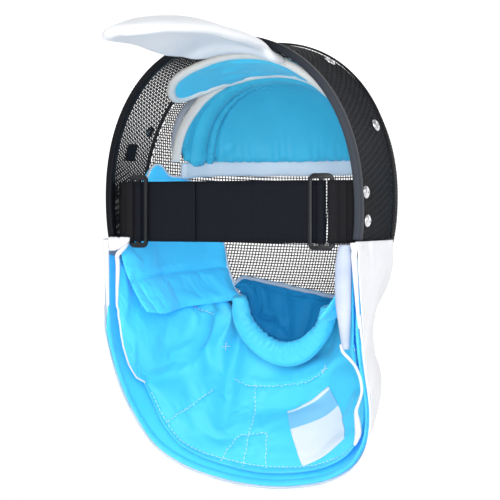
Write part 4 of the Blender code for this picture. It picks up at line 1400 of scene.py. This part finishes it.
def cheek_thin(u):
    """The pad's thickness as a share of its full one, thin at the rear."""
    return 0.40 + 0.52 * smooth(u / 0.34)


def cheek_pair():
    """Front and back skins of the left pad after its cloth has settled and been sewn."""
    nu, nv = 58, 50
    base = grid_of(cheek_place, nu, nv)
    where = grid_of(cheek_spot, nu, nv)
    gap = line_gap(where, CHEEK_SEAM)[0]
    side = line_gap(where, CHEEK_SIDE)[0]
    half = crown(base, PAD, 10.0) * np.array([cheek_thin(k / nu) for k in range(nu + 1)])[:, None]
    half = half * (1.0 - 0.42 * np.exp(-(gap / 3.6) ** 2))
    half = half * (1.0 - 0.30 * np.exp(-(side / 3.6) ** 2))
    one, two = skins(base, half * 0.88)
    pinned = (gap < 1.3) | (side < 1.1)
    one, two = settle_pad(one, two, pinned, pressure=1.5, grow=0.010, cap=1.5, bend=6.0)
    one, two, where = finer(one), finer(two), finer(where)
    rows = [(1.5, 0.9, 0.0, 5.6, CHEEK_SEAM), (1.0, 0.9, 0.0, 5.0, CHEEK_SIDE),
            (0.0, 2.2, 0.38, 5.2, [(16.0, -73.0), (75.0, -71.0), (112.0, -67.0)]),
            (0.0, 0.8, 0.30, 5.8, [(14.0, -90.0), (75.0, -88.0), (112.0, -84.0)])]
    relief = (seam_relief(where, rows) + crumple(where, 0.05, 0.25, 2.0))[..., None]
    keep = (crown(one, 1.0, 2.0) * 2.0)[..., None]
    return one + normals_of(one) * relief * keep, two - normals_of(two) * relief * keep


cheek_one, cheek_two = cheek_pair()
for side, tag in SIDES:
    flip = np.array([side, 1.0, 1.0])
    pad = pad_piece("cheek_cushion_" + tag, cheek_one * flip, cheek_two * flip, satin_pad)
    finish_piece(pad, "blue_satin", "cheek_pad_" + tag)
    edge = [Vector(cheek_place(lerp(0.40, 1.0, k / 60), 0.0)) for k in range(61)]
    edge += [Vector(cheek_place(1.0, k / 50)) for k in range(1, 50)]
    edge = [Vector((p.x * side, p.y, p.z)) for p in edge]
    tape = sweep("cheek_binding_" + tag, edge, 1.5, binding_cloth, 8, 0.75)
    finish_piece(tape, "white_binding", "cheek_pad_" + tag)

# %% [markdown]
# ## Chin cup
# Under the chin a padded roll carries a cup of thinner cloth, which folds into deep pleats.  The
# roll is drawn as a tube and swells as simulated cloth, pinned only where it is sewn.

# %% Roll under the chin
def roll_middle(t):
    """Middle of the roll, t from 0 (left end) to 1 (right end)."""
    turn = t * math.pi
    low = math.sin(turn)
    x = 39.0 * math.cos(turn) - 9.0 * smooth((t - 0.55) / 0.45) - 5.0 * low ** 2
    sag = 44.0 * math.copysign(abs(low) ** 1.12, low)
    return Vector((x, -94.0 - 6.0 * low, -86.0 + 6.0 * (1.0 - smooth(t / 0.16)) - sag))


CUP_HALF, CUP_EDGE, CUP_INSET = 50.0, -74.0, 15.5
CUP_RISE = [(0.5,), (7.5,), (4.5,), (0.5,), (-3.5,), (-6.0,), (-7.5,), (-8.5,)]


def chin_cup(u, v):
    """Cup in front of the roll: v from 0 (upper front edge) to 1 (along the roll)."""
    low = roll_middle(u)
    x = CUP_HALF * math.cos(u * math.pi)
    top = Vector((x, face(x, CUP_EDGE, -CUP_INSET), CUP_EDGE + read(CUP_RISE, 0, u)))
    low = Vector((low.x * 1.08, low.y - 11.6, low.z - 3.0))
    p = top.lerp(low, v)
    p.y -= 4.0 * v * (1.0 - v) * math.sin(u * math.pi)
    return p


ROLL_RINGS, ROLL_SIDES = 110, 30
roll_points = []
for i in range(ROLL_RINGS):
    t = i / (ROLL_RINGS - 1)
    here, ahead = roll_middle(t), (roll_middle(t + 0.01) - roll_middle(t - 0.01)).normalized()
    out = Vector((math.cos(t * math.pi), 0.0, -math.sin(t * math.pi)))
    out = (out - ahead * out.dot(ahead)).normalized()
    back = ahead.cross(out)
    full = math.sin(t * math.pi)
    wide = lerp(6.6, 10.2 - 2.2 * smooth((t - 0.6) / 0.2), full ** 0.8)
    wide = wide * (0.80 + 0.20 * smooth(min(t, 1 - t) / 0.03))
    thick = lerp(6.6, 9.0, full ** 0.8)
    roll_points += oval(here, out * wide, back * thick, ROLL_SIDES)
roll_points = np.array([list(p) for p in roll_points])
ring_index = np.repeat(np.arange(ROLL_RINGS), ROLL_SIDES)
side_angle = np.tile(np.arange(ROLL_SIDES) * 2 * math.pi / ROLL_SIDES, ROLL_RINGS)
middle_line = roll_points.reshape(ROLL_RINGS, ROLL_SIDES, 3).mean(1)[ring_index]
outwards = roll_points - middle_line
outwards /= np.linalg.norm(outwards, axis=1, keepdims=True)
run = ring_index / (ROLL_RINGS - 1)
inner = np.clip(-np.cos(side_angle) * 0.9 + 0.25, 0.0, 1.0)
drift = np.array([noise.noise(Vector((float(r) * 9.0, float(a), 1.0)))
                  for r, a in zip(run, np.cos(side_angle))])
pleats = np.sin(run * 150.0 + 4.0 * drift) * (0.25 + 0.75 * np.exp(-((run - 0.33) / 0.16) ** 2))
roll_points = roll_points + outwards * (0.85 * pleats * inner - 0.3)[:, None]
roll_pins = (ring_index < 2) | (ring_index > ROLL_RINGS - 3) | (
    np.abs(side_angle - math.pi * 1.5) < 0.22)
roll_points = settle(roll_points, tube_faces(ROLL_RINGS, ROLL_SIDES), roll_pins, 3.0, 0.05,
                     cap=1.8, bend=0.4)
roll = new_piece("chin_roll_pad", roll_points, tube_faces(ROLL_RINGS, ROLL_SIDES), satin)


def subdivided(obj):
    """The piece with one step of subdivision applied."""
    mod = obj.modifiers.new("finer", "SUBSURF")
    mod.levels = mod.render_levels = 1
    mesh = made_plain(obj)
    obj.modifiers.clear()
    obj.data = mesh
    mesh.name = obj.name
    return obj


finish_piece(subdivided(roll), "blue_satin", "chin_roll")

# %% Cup and its binding
CUP_N = (90, 36)
cup_grid = grid_of(lambda u, v: chin_cup(lerp(0.01, 0.99, u), v), *CUP_N)
cup_spots = lengths_of(cup_grid) * 1000.0
CUP_WIDE, CUP_TALL = float(cup_spots[-1, 0, 0]), float(cup_spots[CUP_N[0] // 2, -1, 1])
CUP_FOLDS = [                       # depth, width (mm), line in fractions
    (3.4, 4.5, [(0.33, -0.1), (0.345, 0.20), (0.36, 0.48), (0.36, 0.80)]),
    (3.8, 4.5, [(0.43, -0.1), (0.445, 0.18), (0.464, 0.63), (0.47, 0.85)]),
    (2.4, 3.5, [(0.22, 0.0), (0.26, 0.30), (0.28, 0.70)]),
    (2.0, 3.5, [(0.62, 0.10), (0.60, 0.40), (0.56, 0.80)]),
    (2.6, 3.0, [(0.28, 0.58), (0.36, 0.52), (0.45, 0.62)])]
cup_plane = grid_of(lambda u, v: (u * CUP_WIDE, v * CUP_TALL), *CUP_N)
fade = np.clip(np.linspace(0, 1, CUP_N[1] + 1) / 0.12, 0.0, 1.0)[None, :]
cup_relief = (fold_relief(cup_plane, laid(CUP_FOLDS, CUP_WIDE, CUP_TALL)) + 3.0) * fade
cup_draft = cup_grid + backwards(normals_of(cup_grid)) * cup_relief[..., None]
cup = finer(settle_grid(cup_draft, border_mask(cup_draft.shape[:2]), pressure=0.6, grow=0.03,
                        cap=2.0, bend=1.5))
cup_piece = slab("chin_cup_cloth", cup, CUP, satin_shade)
finish_piece(cup_piece, "blue_satin", "chin_cup")
tape_path = []
for k in range(121):
    p = chin_cup(lerp(0.02, 0.98, k / 120), 0.0)
    p.z += 1.6 + 0.8 * noise.noise(Vector((k * 0.11, 0.0, 2.0)))
    p.y += 0.8 * noise.noise(Vector((k * 0.09, 5.0, 2.0)))
    tape_path.append(p)
tape = sweep("chin_binding", tape_path, 2.5, binding_grey, 10, 0.8)
finish_piece(tape, "white_binding", "chin_edging")

# %% [markdown]
# ## Forehead cap and crown pad
# The forehead rests against a cap: a smooth panel, framed by a roll whose cloth is gathered
# crosswise, with a white binding round its edge and along its foot, and loose edge cloth behind
# that on either side.  A second pad, bound the same way, lies over the crown.

# %% Forehead cap
CAP_HALF, CAP_DEEP, CAP_TALL, CAP_MIDDLE, CAP_HEIGHT = 94.5, 72.0, 81.0, 80.5, 36.0
CAP_THICK, FOOT_THICK, CROWN_THICK = 9.0, 7.0, 6.4


def cap_place(across, up, grow=0.0):
    """Forehead cap: across and up in degrees."""
    m, n = math.radians(across), math.radians(up)
    return ((CAP_HALF + grow) * math.sin(m),
            -CAP_MIDDLE - (CAP_DEEP + grow) * math.cos(m) * math.cos(n),
            CAP_HEIGHT + (CAP_TALL + grow) * math.cos(m) * math.sin(n))


def cap_angles(u, v):
    """The two angles at fractions of the cap, which starts a little above its foot."""
    across = lerp(80.0, -80.0, u)
    room = CAP_TALL * math.cos(math.radians(across))
    start = math.degrees(math.asin(min(0.9, 4.0 / room)))
    return across, lerp(start, 89.0, v)


def cap_polar(across, up):
    """Angle round the cap's opening from its left foot, and angle from its front to its rim."""
    m, n = math.radians(across), math.radians(up)
    x, y, z = math.sin(m), math.cos(m) * math.cos(n), math.cos(m) * math.sin(n)
    return math.degrees(math.atan2(z, x)), math.degrees(math.acos(min(1.0, y)))


CREASE_STEP = 7.5                   # degrees from the inner crease to the outer one


def crease_angle(around):
    """Angle from the cap's front to its inner crease, larger towards the top."""
    return 56.0 + 13.0 * smooth(min(around, 180.0 - around) / 80.0)


def cap_relief(across, up):
    """How far the cap's cloth stands towards the wearer (mm)."""
    around, open_angle = cap_polar(across, up)
    near = min(around, 180.0 - around)
    past = open_angle - crease_angle(around)
    step = 1.35                     # millimetres for each degree from front to rim
    a, b = past * step, (past - CREASE_STEP) * step
    height = -4.0 * math.exp(-(a / 1.9) ** 2) - 3.0 * math.exp(-(b / 1.8) ** 2)
    band_one = max(0.0, 1.0 - ((a - 5.0) / 5.2) ** 2)
    band_two = max(0.0, 1.0 - ((b - 9.0) / 9.4) ** 2)
    height += 3.4 * math.sqrt(band_one) + 6.0 * math.sqrt(band_two)
    drift = noise.noise(Vector((near * 0.10, open_angle * 0.05, 3.0)))
    pleat = math.sin(math.radians(around) * 42.0 + 4.0 * drift)
    height -= 1.0 * math.exp(-(pleat / 0.32) ** 2) * (
        math.sqrt(band_one) + 0.9 * math.sqrt(band_two) * math.exp(-b / 9.0))
    if a < 0.0:
        foot = max(0.0, 1.0 - up / 34.0) ** 1.5
        gather = math.sin(math.radians(across) * 58.0 + 4.0 * noise.noise(
            Vector((across * 0.08, 0.0, 9.0))))
        height += 0.55 * gather * foot
        height += 1.2 * (1.0 - math.exp(a / 9.0))
    return height


CAP_N = (112, 60)
cap_grid = grid_of(lambda u, v: cap_place(*cap_angles(u, v)), *CAP_N)
cap_turn = grid_of(cap_angles, *CAP_N)
cap_out = backwards(normals_of(cap_grid)) * crown(cap_grid, CAP_THICK, 6.0)[..., None]
cap_skin, cap_back = cap_grid + cap_out, cap_grid - cap_out


def in_crease(across, up):
    """Whether a point of the cap is sewn down, in one of its two creases."""
    around, open_angle = cap_polar(across, up)
    past = open_angle - crease_angle(around)
    return abs(past) < 1.0 or abs(past - CREASE_STEP) < 0.9


cap_pins = np.array([[in_crease(*turn) for turn in row] for row in cap_turn])
cap_skin, cap_back = settle_pad(cap_skin, cap_back, cap_pins, pressure=1.0, grow=0.006, cap=1.2,
                                bend=8.0)
cap_skin, cap_back, cap_turn = finer(cap_skin), finer(cap_back), finer(cap_turn)
cap_height = np.array([[cap_relief(*turn) for turn in row] for row in cap_turn])
cap_height = cap_height * (crown(cap_skin, 1.0, 3.0) * 2.0)
cap_skin = cap_skin + backwards(normals_of(cap_skin)) * cap_height[..., None]
cap = pad_piece("forehead_cap", cap_skin, cap_back, satin_cap_painted_shade)
finish_piece(cap, "blue_satin", "forehead_pad")

# %% Bindings of the cap
def rim_ring(t, lift, wide, thick, deep):
    """Flat oval round the edge of the cap's opening."""
    a = lerp(math.radians(2.0), math.radians(178.0), t)
    out = Vector((math.cos(a) * CAP_TALL, 0.0, math.sin(a) * CAP_HALF)).normalized()
    middle = Vector((CAP_HALF * math.cos(a), -deep, CAP_HEIGHT + CAP_TALL * math.sin(a)))
    middle += out * (lift + 0.7 * noise.noise(Vector((t * 14.0, lift, 1.0))))
    return oval(middle, out * wide, Vector((0.0, thick, 0.0)), 14)


edge = loft("cap_edge_binding", [rim_ring(i / 150, 0.6, 4.6, 1.9, 79.2) for i in range(151)],
            cream_cloth)
finish_piece(edge, "white_binding", "forehead_pad")
for first, last, tag in ((0.02, 0.30, "left"), (0.98, 0.70, "right")):
    rings = [rim_ring(lerp(first, last, i / 60), 3.0 + 6.5 * math.sin(math.pi * i / 60), 3.2, 1.0,
                      81.5) for i in range(61)]
    finish_piece(loft("cap_outer_cloth_" + tag, rings, binding_grey), "white_binding",
                 "forehead_pad")


def foot_place(u, v):
    """Binding along the cap's foot, dipping a little at its left end."""
    across = lerp(83.0, -83.0, u)
    x, y, _ = cap_place(across, 0.0, 0.3)
    dip = 2.5 * smooth((across - 50.0) / 30.0)
    return x, y, lerp(26.8, 41.0, v) - dip + 0.8 * noise.noise(Vector((u * 16.0, v, 4.0)))


foot_grid = grid_of(foot_place, 120, 12)
foot = pad_piece("cap_foot_binding", *skins(foot_grid, crown(foot_grid, FOOT_THICK, 4.0)),
                 binding_cloth)
finish_piece(foot, "white_binding", "forehead_binding")

# %% Crown pad
def crown_place(u, v):
    """Crown pad under the hood: u from left to right, v from the rim forwards."""
    t = math.pi / 2 + lerp(-0.80, 0.74, u)
    deep = lerp(20.0, 80.4, v)
    off = lerp(-11.0, -22.5, v) + 8.5 * (1.0 - smooth(u / 0.35))
    x, z = outline(t, RIM_HALF, RIM_TOP, off)
    return x, -deep, z


def rounded_square(fn, corner=0.85):
    """The same surface with its corners drawn in."""
    def out(u, v):
        a, b = 2 * u - 1, 2 * v - 1
        a, b = a * math.sqrt(1 - corner * b * b / 2), b * math.sqrt(1 - corner * a * a / 2)
        return fn(0.5 + a / 2, 0.5 + b / 2)
    return out


crown_base = grid_of(rounded_square(crown_place), 60, 32)
one, two = skins(crown_base, crown(crown_base, CROWN_THICK, 15.0))
one, two = settle_pad(one, two, np.zeros(one.shape[:2], bool), pressure=1.5, grow=0.012, cap=1.2,
                      bend=4.0)
one, two = finer(one), finer(two)
crown_piece = pad_piece("crown_cushion", one, two, satin)
finish_piece(crown_piece, "blue_satin", "crown_pad")

# %% Binding of the crown pad
g = finer(crown_base)
crown_edge = [Vector(p) for run in (g[:-1, 0], g[-1, :-1], g[:0:-1, -1], g[0, :0:-1]) for p in run]
crown_mid = sum(crown_edge, Vector()) / len(crown_edge)
rings = []
for k, p in enumerate(crown_edge):
    ahead = (crown_edge[(k + 1) % len(crown_edge)] - crown_edge[k - 1]).normalized()
    inside = crown_mid - p
    inside = (inside - ahead * inside.dot(ahead)).normalized()
    up = ahead.cross(inside)
    wide = 3.7 + 0.4 * noise.noise(p * 0.05)
    rings.append(oval(p + inside * 1.2, inside * wide, up * 2.9, 16))
tape = loft("crown_binding", rings, cream_cloth, closed=True)
finish_piece(tape, "white_binding", "crown_pad")

# %% [markdown]
# ## Elastic, buckles and webbing
# A wide elastic crosses the back of the head.  Both its ends pass round the middle bar of a
# moulded slider and return, and short webbing ties each slider to the net.

# %% Buckles
BUCKLE_X, BUCKLE_Y, BUCKLE_TURN = 84.0, 1.5, 13.5
BUCKLE_WIDE, BUCKLE_THICK, BUCKLE_TALL = 21.0, 2.6, 61.0
SLOT_WIDE, SLOT_TALL, SLOT_SHIFT, BEVEL = 5.4, 52.5, 4.5, 0.55
STRAP_MID = STRAP_TOP - STRAP_WIDTH / 2


def in_buckle(side, along, out):
    """Plan point of a buckle: along its width outwards, out towards the back."""
    turn = math.radians(-BUCKLE_TURN * side)
    ax, ay = side * math.cos(turn), side * math.sin(turn)
    return (side * BUCKLE_X + ax * along - math.sin(turn) * out,
            BUCKLE_Y + ay * along + math.cos(turn) * out)


def rounded_box(wide, tall, corner, middle=0.0):
    """Corner points of a plate's outline, five steps round each corner."""
    steps = 5
    points = []
    for cx, cy, start in ((1, 1, 0), (-1, 1, 90), (-1, -1, 180), (1, -1, 270)):
        for k in range(steps + 1):
            t = math.radians(start + 90 * k / steps)
            points.append((middle + cx * (wide / 2 - corner) + corner * math.cos(t),
                           cy * (tall / 2 - corner) + corner * math.sin(t)))
    return points


def buckle(name, side):
    """Slider: a plate with two slots, extruded and bevelled, then set in its place."""
    curve = bpy.data.curves.new(name, "CURVE")
    curve.dimensions = "2D"
    curve.fill_mode = "BOTH"
    curve.extrude = (BUCKLE_THICK / 2 - BEVEL) * 0.001
    curve.bevel_depth = BEVEL * 0.001
    curve.bevel_resolution = 2
    outlines = [rounded_box(BUCKLE_WIDE - 2 * BEVEL, BUCKLE_TALL - 2 * BEVEL, 5.0)]
    outlines += [rounded_box(SLOT_WIDE + 2 * BEVEL, SLOT_TALL + 2 * BEVEL, 1.6, shift)
                 for shift in (-SLOT_SHIFT, SLOT_SHIFT)]
    for points in outlines:
        spline = curve.splines.new("POLY")
        spline.points.add(len(points) - 1)
        for point, (x, z) in zip(spline.points, points):
            point.co = (x * 0.001, z * 0.001, 0.0, 1.0)
        spline.use_cyclic_u = True
    draft = shown(name, curve)
    mesh = made_plain(draft)
    bpy.data.objects.remove(draft, do_unlink=True)
    bm = bmesh.new()
    bm.from_mesh(mesh)
    bmesh.ops.remove_doubles(bm, verts=bm.verts[:], dist=1e-6)
    for vert in bm.verts:
        along, tall, out = (k * 1000.0 for k in vert.co)
        x, y = in_buckle(side, along, out)
        vert.co = place((x, y, STRAP_MID + tall))
    bmesh.ops.recalc_face_normals(bm, faces=bm.faces[:])
    bm.to_mesh(mesh)
    bm.free()
    mesh.materials.clear()
    mesh.materials.append(buckle_plastic)
    mesh.shade_smooth()
    mesh.set_sharp_from_angle(angle=math.radians(35))
    mesh.name = name
    return shown(name, mesh)


for side, tag in SIDES:
    finish_piece(buckle("slider_" + tag, side), "buckle", "buckle_" + tag)


# %% Elastic and webbing
def chaikin(path, times):
    """Path with its corners cut, its ends kept."""
    for _ in range(times):
        cut = [path[0]]
        for a, b in zip(path, path[1:]):
            cut += [tuple(lerp(p, q, 0.25) for p, q in zip(a, b)),
                    tuple(lerp(p, q, 0.75) for p, q in zip(a, b))]
        path = cut + [path[-1]]
    return path


LAYER = GAP + WEB / 2 + BUCKLE_THICK / 2     # from a buckle's middle to the webbing on it (mm)
UNDER = LAYER + WEB + 0.4                    # and to a second layer below the first
TURN = SLOT_SHIFT - SLOT_WIDE / 2 + GAP + WEB / 2


def round_bar(side):
    """Plan of the elastic's turn round a buckle's middle bar."""
    steps = [(-8.5, -LAYER), (-TURN, -LAYER), (-TURN, LAYER), (TURN, LAYER), (TURN, -UNDER),
             (-8.5, -UNDER)]
    return [in_buckle(side, a, b) for a, b in steps]


left_end = [(29.0, 2.0), (50.0, 2.0), (68.0, 2.0)] + round_bar(1)
right_end = round_bar(-1) + [(-68.0, 0.0), (-48.0, 0.0)]
middle = [(68.0, 0.0), (50.0, 0.0), (25.0, 0.0), (-15.0, 2.0), (-45.0, 2.0), (-68.0, 2.0)]
plan = chaikin(left_end + middle + right_end, 3)
strap_grid = np.array([[(x, y + 0.25 * noise.noise(Vector((x * 0.05, v * 2.0, 8.0))),
                         STRAP_MID + (v - 0.5) * STRAP_WIDTH
                         + 0.25 * noise.noise(Vector((x * 0.04, 0.0, 5.0))))
                        for v in np.linspace(0, 1, 9)] for x, y in plan])
strap = slab("elastic_strap", strap_grid, WEB, elastic)
finish_piece(strap, "elastic", "strap")

for side, tag in SIDES:
    steps = [(20.0, -LAYER), (11.0, -LAYER), (6.1, -LAYER), (6.1, LAYER), (12.0, LAYER),
             (15.0, -LAYER + 2.4), (20.0, -LAYER + 2.0)]
    rows = []
    for v in np.linspace(0, 1, 13):
        z = STRAP_MID + (v - 0.5) * STRAP_WIDTH
        line = [(side * wall(d, z, -(NET + GAP + WEB / 2 + 0.5)), -d) for d in (28.0, 20.0, 13.5)]
        line += [(side * 106.6, -7.4)] + [in_buckle(side, a, b) for a, b in steps]
        rows.append([(x, y, z) for x, y in chaikin(line, 2)])
    web_grid = np.swapaxes(np.array(rows), 0, 1)
    web = slab("webbing_" + tag, web_grid, WEB, webbing)
    finish_piece(web, "elastic", "strap_anchor_" + tag)

# %% [markdown]
# ## The tongue
# A sprung tongue grips the back of the head.  It is a steel strip in a padded white vinyl
# sleeve with a soft rounded edge.

# %% Tongue
TONGUE = [                          # distance behind the rim, height, half width, drop of both
                                    # edges, middle, further drop of the left edge (mm)
    (-4.0, 131.6, 37.5, 11.5, -12.5, -6.5), (8.5, 132.2, 39.0, 10.4, -9.0, -2.9),
    (20.0, 137.0, 40.0, 9.2, -5.5, 1.5), (36.0, 139.2, 40.0, 11.0, -4.8, 1.0),
    (62.0, 140.6, 38.5, 11.6, -4.5, 0.5), (100.0, 141.8, 35.5, 11.6, -4.5, 0.0),
    (140.0, 136.6, 28.0, 9.0, -4.5, 0.0), (158.0, 131.6, 21.5, 6.0, -4.5, 0.0),
    (168.0, 128.4, 16.0, 3.8, -4.5, 0.0), (173.5, 126.4, 11.0, 2.2, -4.5, 0.0),
    (176.0, 125.2, 6.5, 1.2, -4.5, 0.0)]
TONGUE_ROLL, TONGUE_THICK = 4.1, 9.0


def tongue(u, v):
    """Middle surface of the tongue: u across from the left, v back from its base to its tip."""
    back, top, half, drop, mid, left = (read(TONGUE, k, v) for k in range(6))
    s = lerp(1.0, -1.0, u)
    roll = math.tan(math.radians(TONGUE_ROLL)) * (1.6 * smooth(back / 50.0) - 0.6)
    z = top - drop * s * s - roll * half * s - left * max(0.0, s) ** 2
    return mid + half * s, back, z - TONGUE_THICK / 2


tongue_grid = grid_of(tongue, 40, 90)
one, two = skins(tongue_grid, crown(tongue_grid, TONGUE_THICK, 8.0) * 0.96)
one, two = finer(one), finer(two)
dimple = crumple(lengths_of(one) * 1000.0, 0.018, 0.9, 6.0) * np.clip(crown(one, 2.0, 20.0), 0, 1)
one = one + normals_of(one) * dimple[..., None]
sleeve = pad_piece("tongue_sleeve", one, two, white_vinyl)
finish_piece(sleeve, "white_cloth", "tongue")

# %% [markdown]
# ## Edgings, label and stitches
# A white binding closes the lining's left edge, and a padded white flap its right one, with
# piping below it.  A plain woven label is sewn inside.  Rows of stitches finish the seams: each
# is one small shape that a node tree sets out along a line.

# %% Edgings
EDGE_START = STRAP_TOP - STRAP_WIDTH - 1.5
LEFT_EDGE = [                       # share of the way down, offset inwards, radius (mm)
    (0.00, 0.0, 2.5), (0.10, 0.6, 2.4), (0.25, 0.4, 2.2), (0.40, 0.0, 1.8), (0.55, 0.0, 1.4),
    (0.71, 0.0, 1.1)]
path, radii = [], []
for k in range(91):
    v, shift, r = (read(LEFT_EDGE, n, k / 90) for n in range(3))
    path.append(lining_place(0.0, v) + Vector((-1.6 - shift, 3.0 * (1 - smooth((v - 0.6) / 0.1)),
                                               0.0)))
    radii.append(r)
for k in range(1, 61):
    u = lerp(0.0, 0.183, k / 60)
    path.append(lining_place(u, foot_at(u) + 0.006, LINING_GAP + 1.2))
    radii.append(lerp(1.1, 0.9, k / 60))
top = path[0]
head = [Vector((top.x - 9.0 * (1 - smooth(k / 12)) - 1.0 * (1 - k / 12), top.y + 0.6,
                lerp(EDGE_START + 1.0, top.z, k / 12))) for k in range(12)]
radii = [lerp(3.0, 2.5, k / 12) for k in range(12)] + radii
left_tape = sweep("lining_binding_left", head + path, radii, white_cloth, 10, 0.8)
finish_piece(left_tape, "white_binding", "lining_edging_left")


def head_place(u, v):
    """Gathered cloth at the left edge's top, between the rim's end and the binding."""
    x = lerp(91.0, 112.0, u)
    low = -30.0 - 8.5 * math.sin(min(1.0, 1.15 * u) * math.pi / 2)
    wave = 0.9 * math.sin(x * 1.1) * (1.0 - v)
    return x, 4.4 + wave, lerp(-26.6 + 0.6 * noise.noise(Vector((x * 0.3, 0.0, 0.0))), low, v)


head_grid = grid_of(head_place, 40, 16)
head_piece = pad_piece("lining_head_left", *skins(head_grid, crown(head_grid, 3.4, 3.0)),
                       white_cloth)
finish_piece(head_piece, "white_binding", "lining_edging_left")

FLAP = [                            # height, outer and inner distance from the middle, puff
    (EDGE_START + 1.0, 108.6, 99.5, 2.2), (-38.0, 109.0, 98.0, 3.0), (-46.0, 109.0, 96.6, 3.2),
    (-62.0, 108.8, 96.0, 3.2), (-80.0, 108.4, 97.4, 3.0), (-98.0, 107.6, 100.2, 2.6),
    (-112.0, 106.8, 102.5, 1.8)]


def flap(u, v):
    """Flap at the lining's right edge: u down, v inwards."""
    z, outer, inner, _ = (read(FLAP, k, u) for k in range(4))
    wave = 0.8 * noise.noise(Vector((z * 0.04, v * 0.5, 3.0)))
    return -lerp(outer, inner, v), lerp(-0.4, 3.2, math.sin(v * math.pi)) + wave, z


flap_grid = grid_of(flap, 60, 16)
puff = np.array([read(FLAP, 3, i / 60) for i in range(61)])[:, None]
one, two = skins(flap_grid, crown(flap_grid, 1.0, 4.5) * puff * 1.9)
flap_piece = pad_piece("lining_flap", finer(one), finer(two), flap_cloth)
finish_piece(flap_piece, "white_binding", "lining_edging_right")

RIGHT_EDGE = [                      # height, distance from the middle, depth, radius (mm)
    (-108.0, 101.0, -2.0, 1.3), (-114.0, 102.5, -1.5, 1.3), (-120.0, 107.5, 1.0, 1.3),
    (-126.0, 111.0, 4.0, 1.2), (-136.0, 113.2, 8.0, 1.1), (-146.0, 112.6, 12.0, 1.1),
    (-155.0, 108.5, 16.0, 1.2), (-163.0, 104.5, 20.0, 1.6), (-172.0, 103.5, 25.0, 2.4),
    (-182.0, 102.0, 30.0, 2.6), (-192.0, 97.5, 34.0, 1.2)]
path = [Vector((-read(RIGHT_EDGE, 1, k / 120), -read(RIGHT_EDGE, 2, k / 120),
                read(RIGHT_EDGE, 0, k / 120))) for k in range(121)]
radii = [read(RIGHT_EDGE, 3, k / 120) for k in range(121)]
right_tape = sweep("lining_binding_right", path, radii, white_cloth, 10)
finish_piece(right_tape, "white_binding", "lining_edging_right")

# %% Label
LABEL_CORNERS = [(0.516, 0.635), (0.590, 0.510), (0.668, 0.900), (0.562, 0.960)]
side_of = 1.0 if np.mean(normals_of(lining)[:, :, 1]) > 0 else -1.0


def label_spot(u, v):
    """Point of the lining under the label, and its normal towards the wearer."""
    a, b, c, d = (np.array(k) for k in LABEL_CORNERS)
    p, n = on_grid(lining, *((a * (1 - u) + b * u) * (1 - v) + (d * (1 - u) + c * u) * v))
    return p, n * side_of


label_grid, label_out = (grid_of(lambda u, v: label_spot(u, v)[which], 20, 20) for which in (0, 1))
calm = label_grid.copy()
for _ in range(40):
    calm[1:-1] = 0.5 * calm[1:-1] + 0.25 * (calm[:-2] + calm[2:])
    calm[:, 1:-1] = 0.5 * calm[:, 1:-1] + 0.25 * (calm[:, :-2] + calm[:, 2:])
above = ((calm - label_grid) * label_out).sum(2)
calm = calm + label_out * np.maximum(0.0, 1.15 - above)[..., None]
for _ in range(2):
    calm[1:-1] = 0.5 * calm[1:-1] + 0.25 * (calm[:-2] + calm[2:])
label = slab("sewn_label", finer(calm), LABEL, label_weave)
finish_piece(label, "label", "label")

# %% Stitches
def on_lining(u, v):
    p, n = on_grid(lining, u, v / foot_at(u))
    return p + n * side_of * (LINING / 2 + 0.05), n * side_of


white_rows = []
for row in SEAMS[:6]:
    white_rows += sew(on_lining, row[-1], pitch=4.0, lift=0.25, wander=0.4)
for (u, v), turn in (((0.366, 0.340), 0.5), ((0.582, 0.385), -0.4)):
    for k in (-1, 1):
        a = turn + k * 0.7
        du, dv = 3.6 * math.cos(a) / LINING_WIDE, 3.6 * math.sin(a) / LINING_TALL
        white_rows += sew(on_lining, [(u - du, v - dv), (u + du, v + dv)], pitch=2.4, lift=0.3)
print("white stitches:", len(white_rows))
finish_piece(spread("lining_stitches", white_rows, stitch_shape, thread_white), "blue_satin",
             "bib_lining")


def on_hem(t, _):
    ring = hem_at(t)
    near = min((1, 7), key=lambda k: (ring[k] - Vector((0.0, -50.0, -110.0))).length)
    return ring[near], (ring[4] - ring[12]).normalized()


blue_rows = sew(on_hem, [(k / 40, 0.0) for k in range(41)], pitch=4.3, lift=0.5)
print("blue stitches:", len(blue_rows))
finish_piece(spread("hem_stitches", blue_rows, stitch_shape, thread_blue, 0.9), "blue_satin",
             "bib_hem")
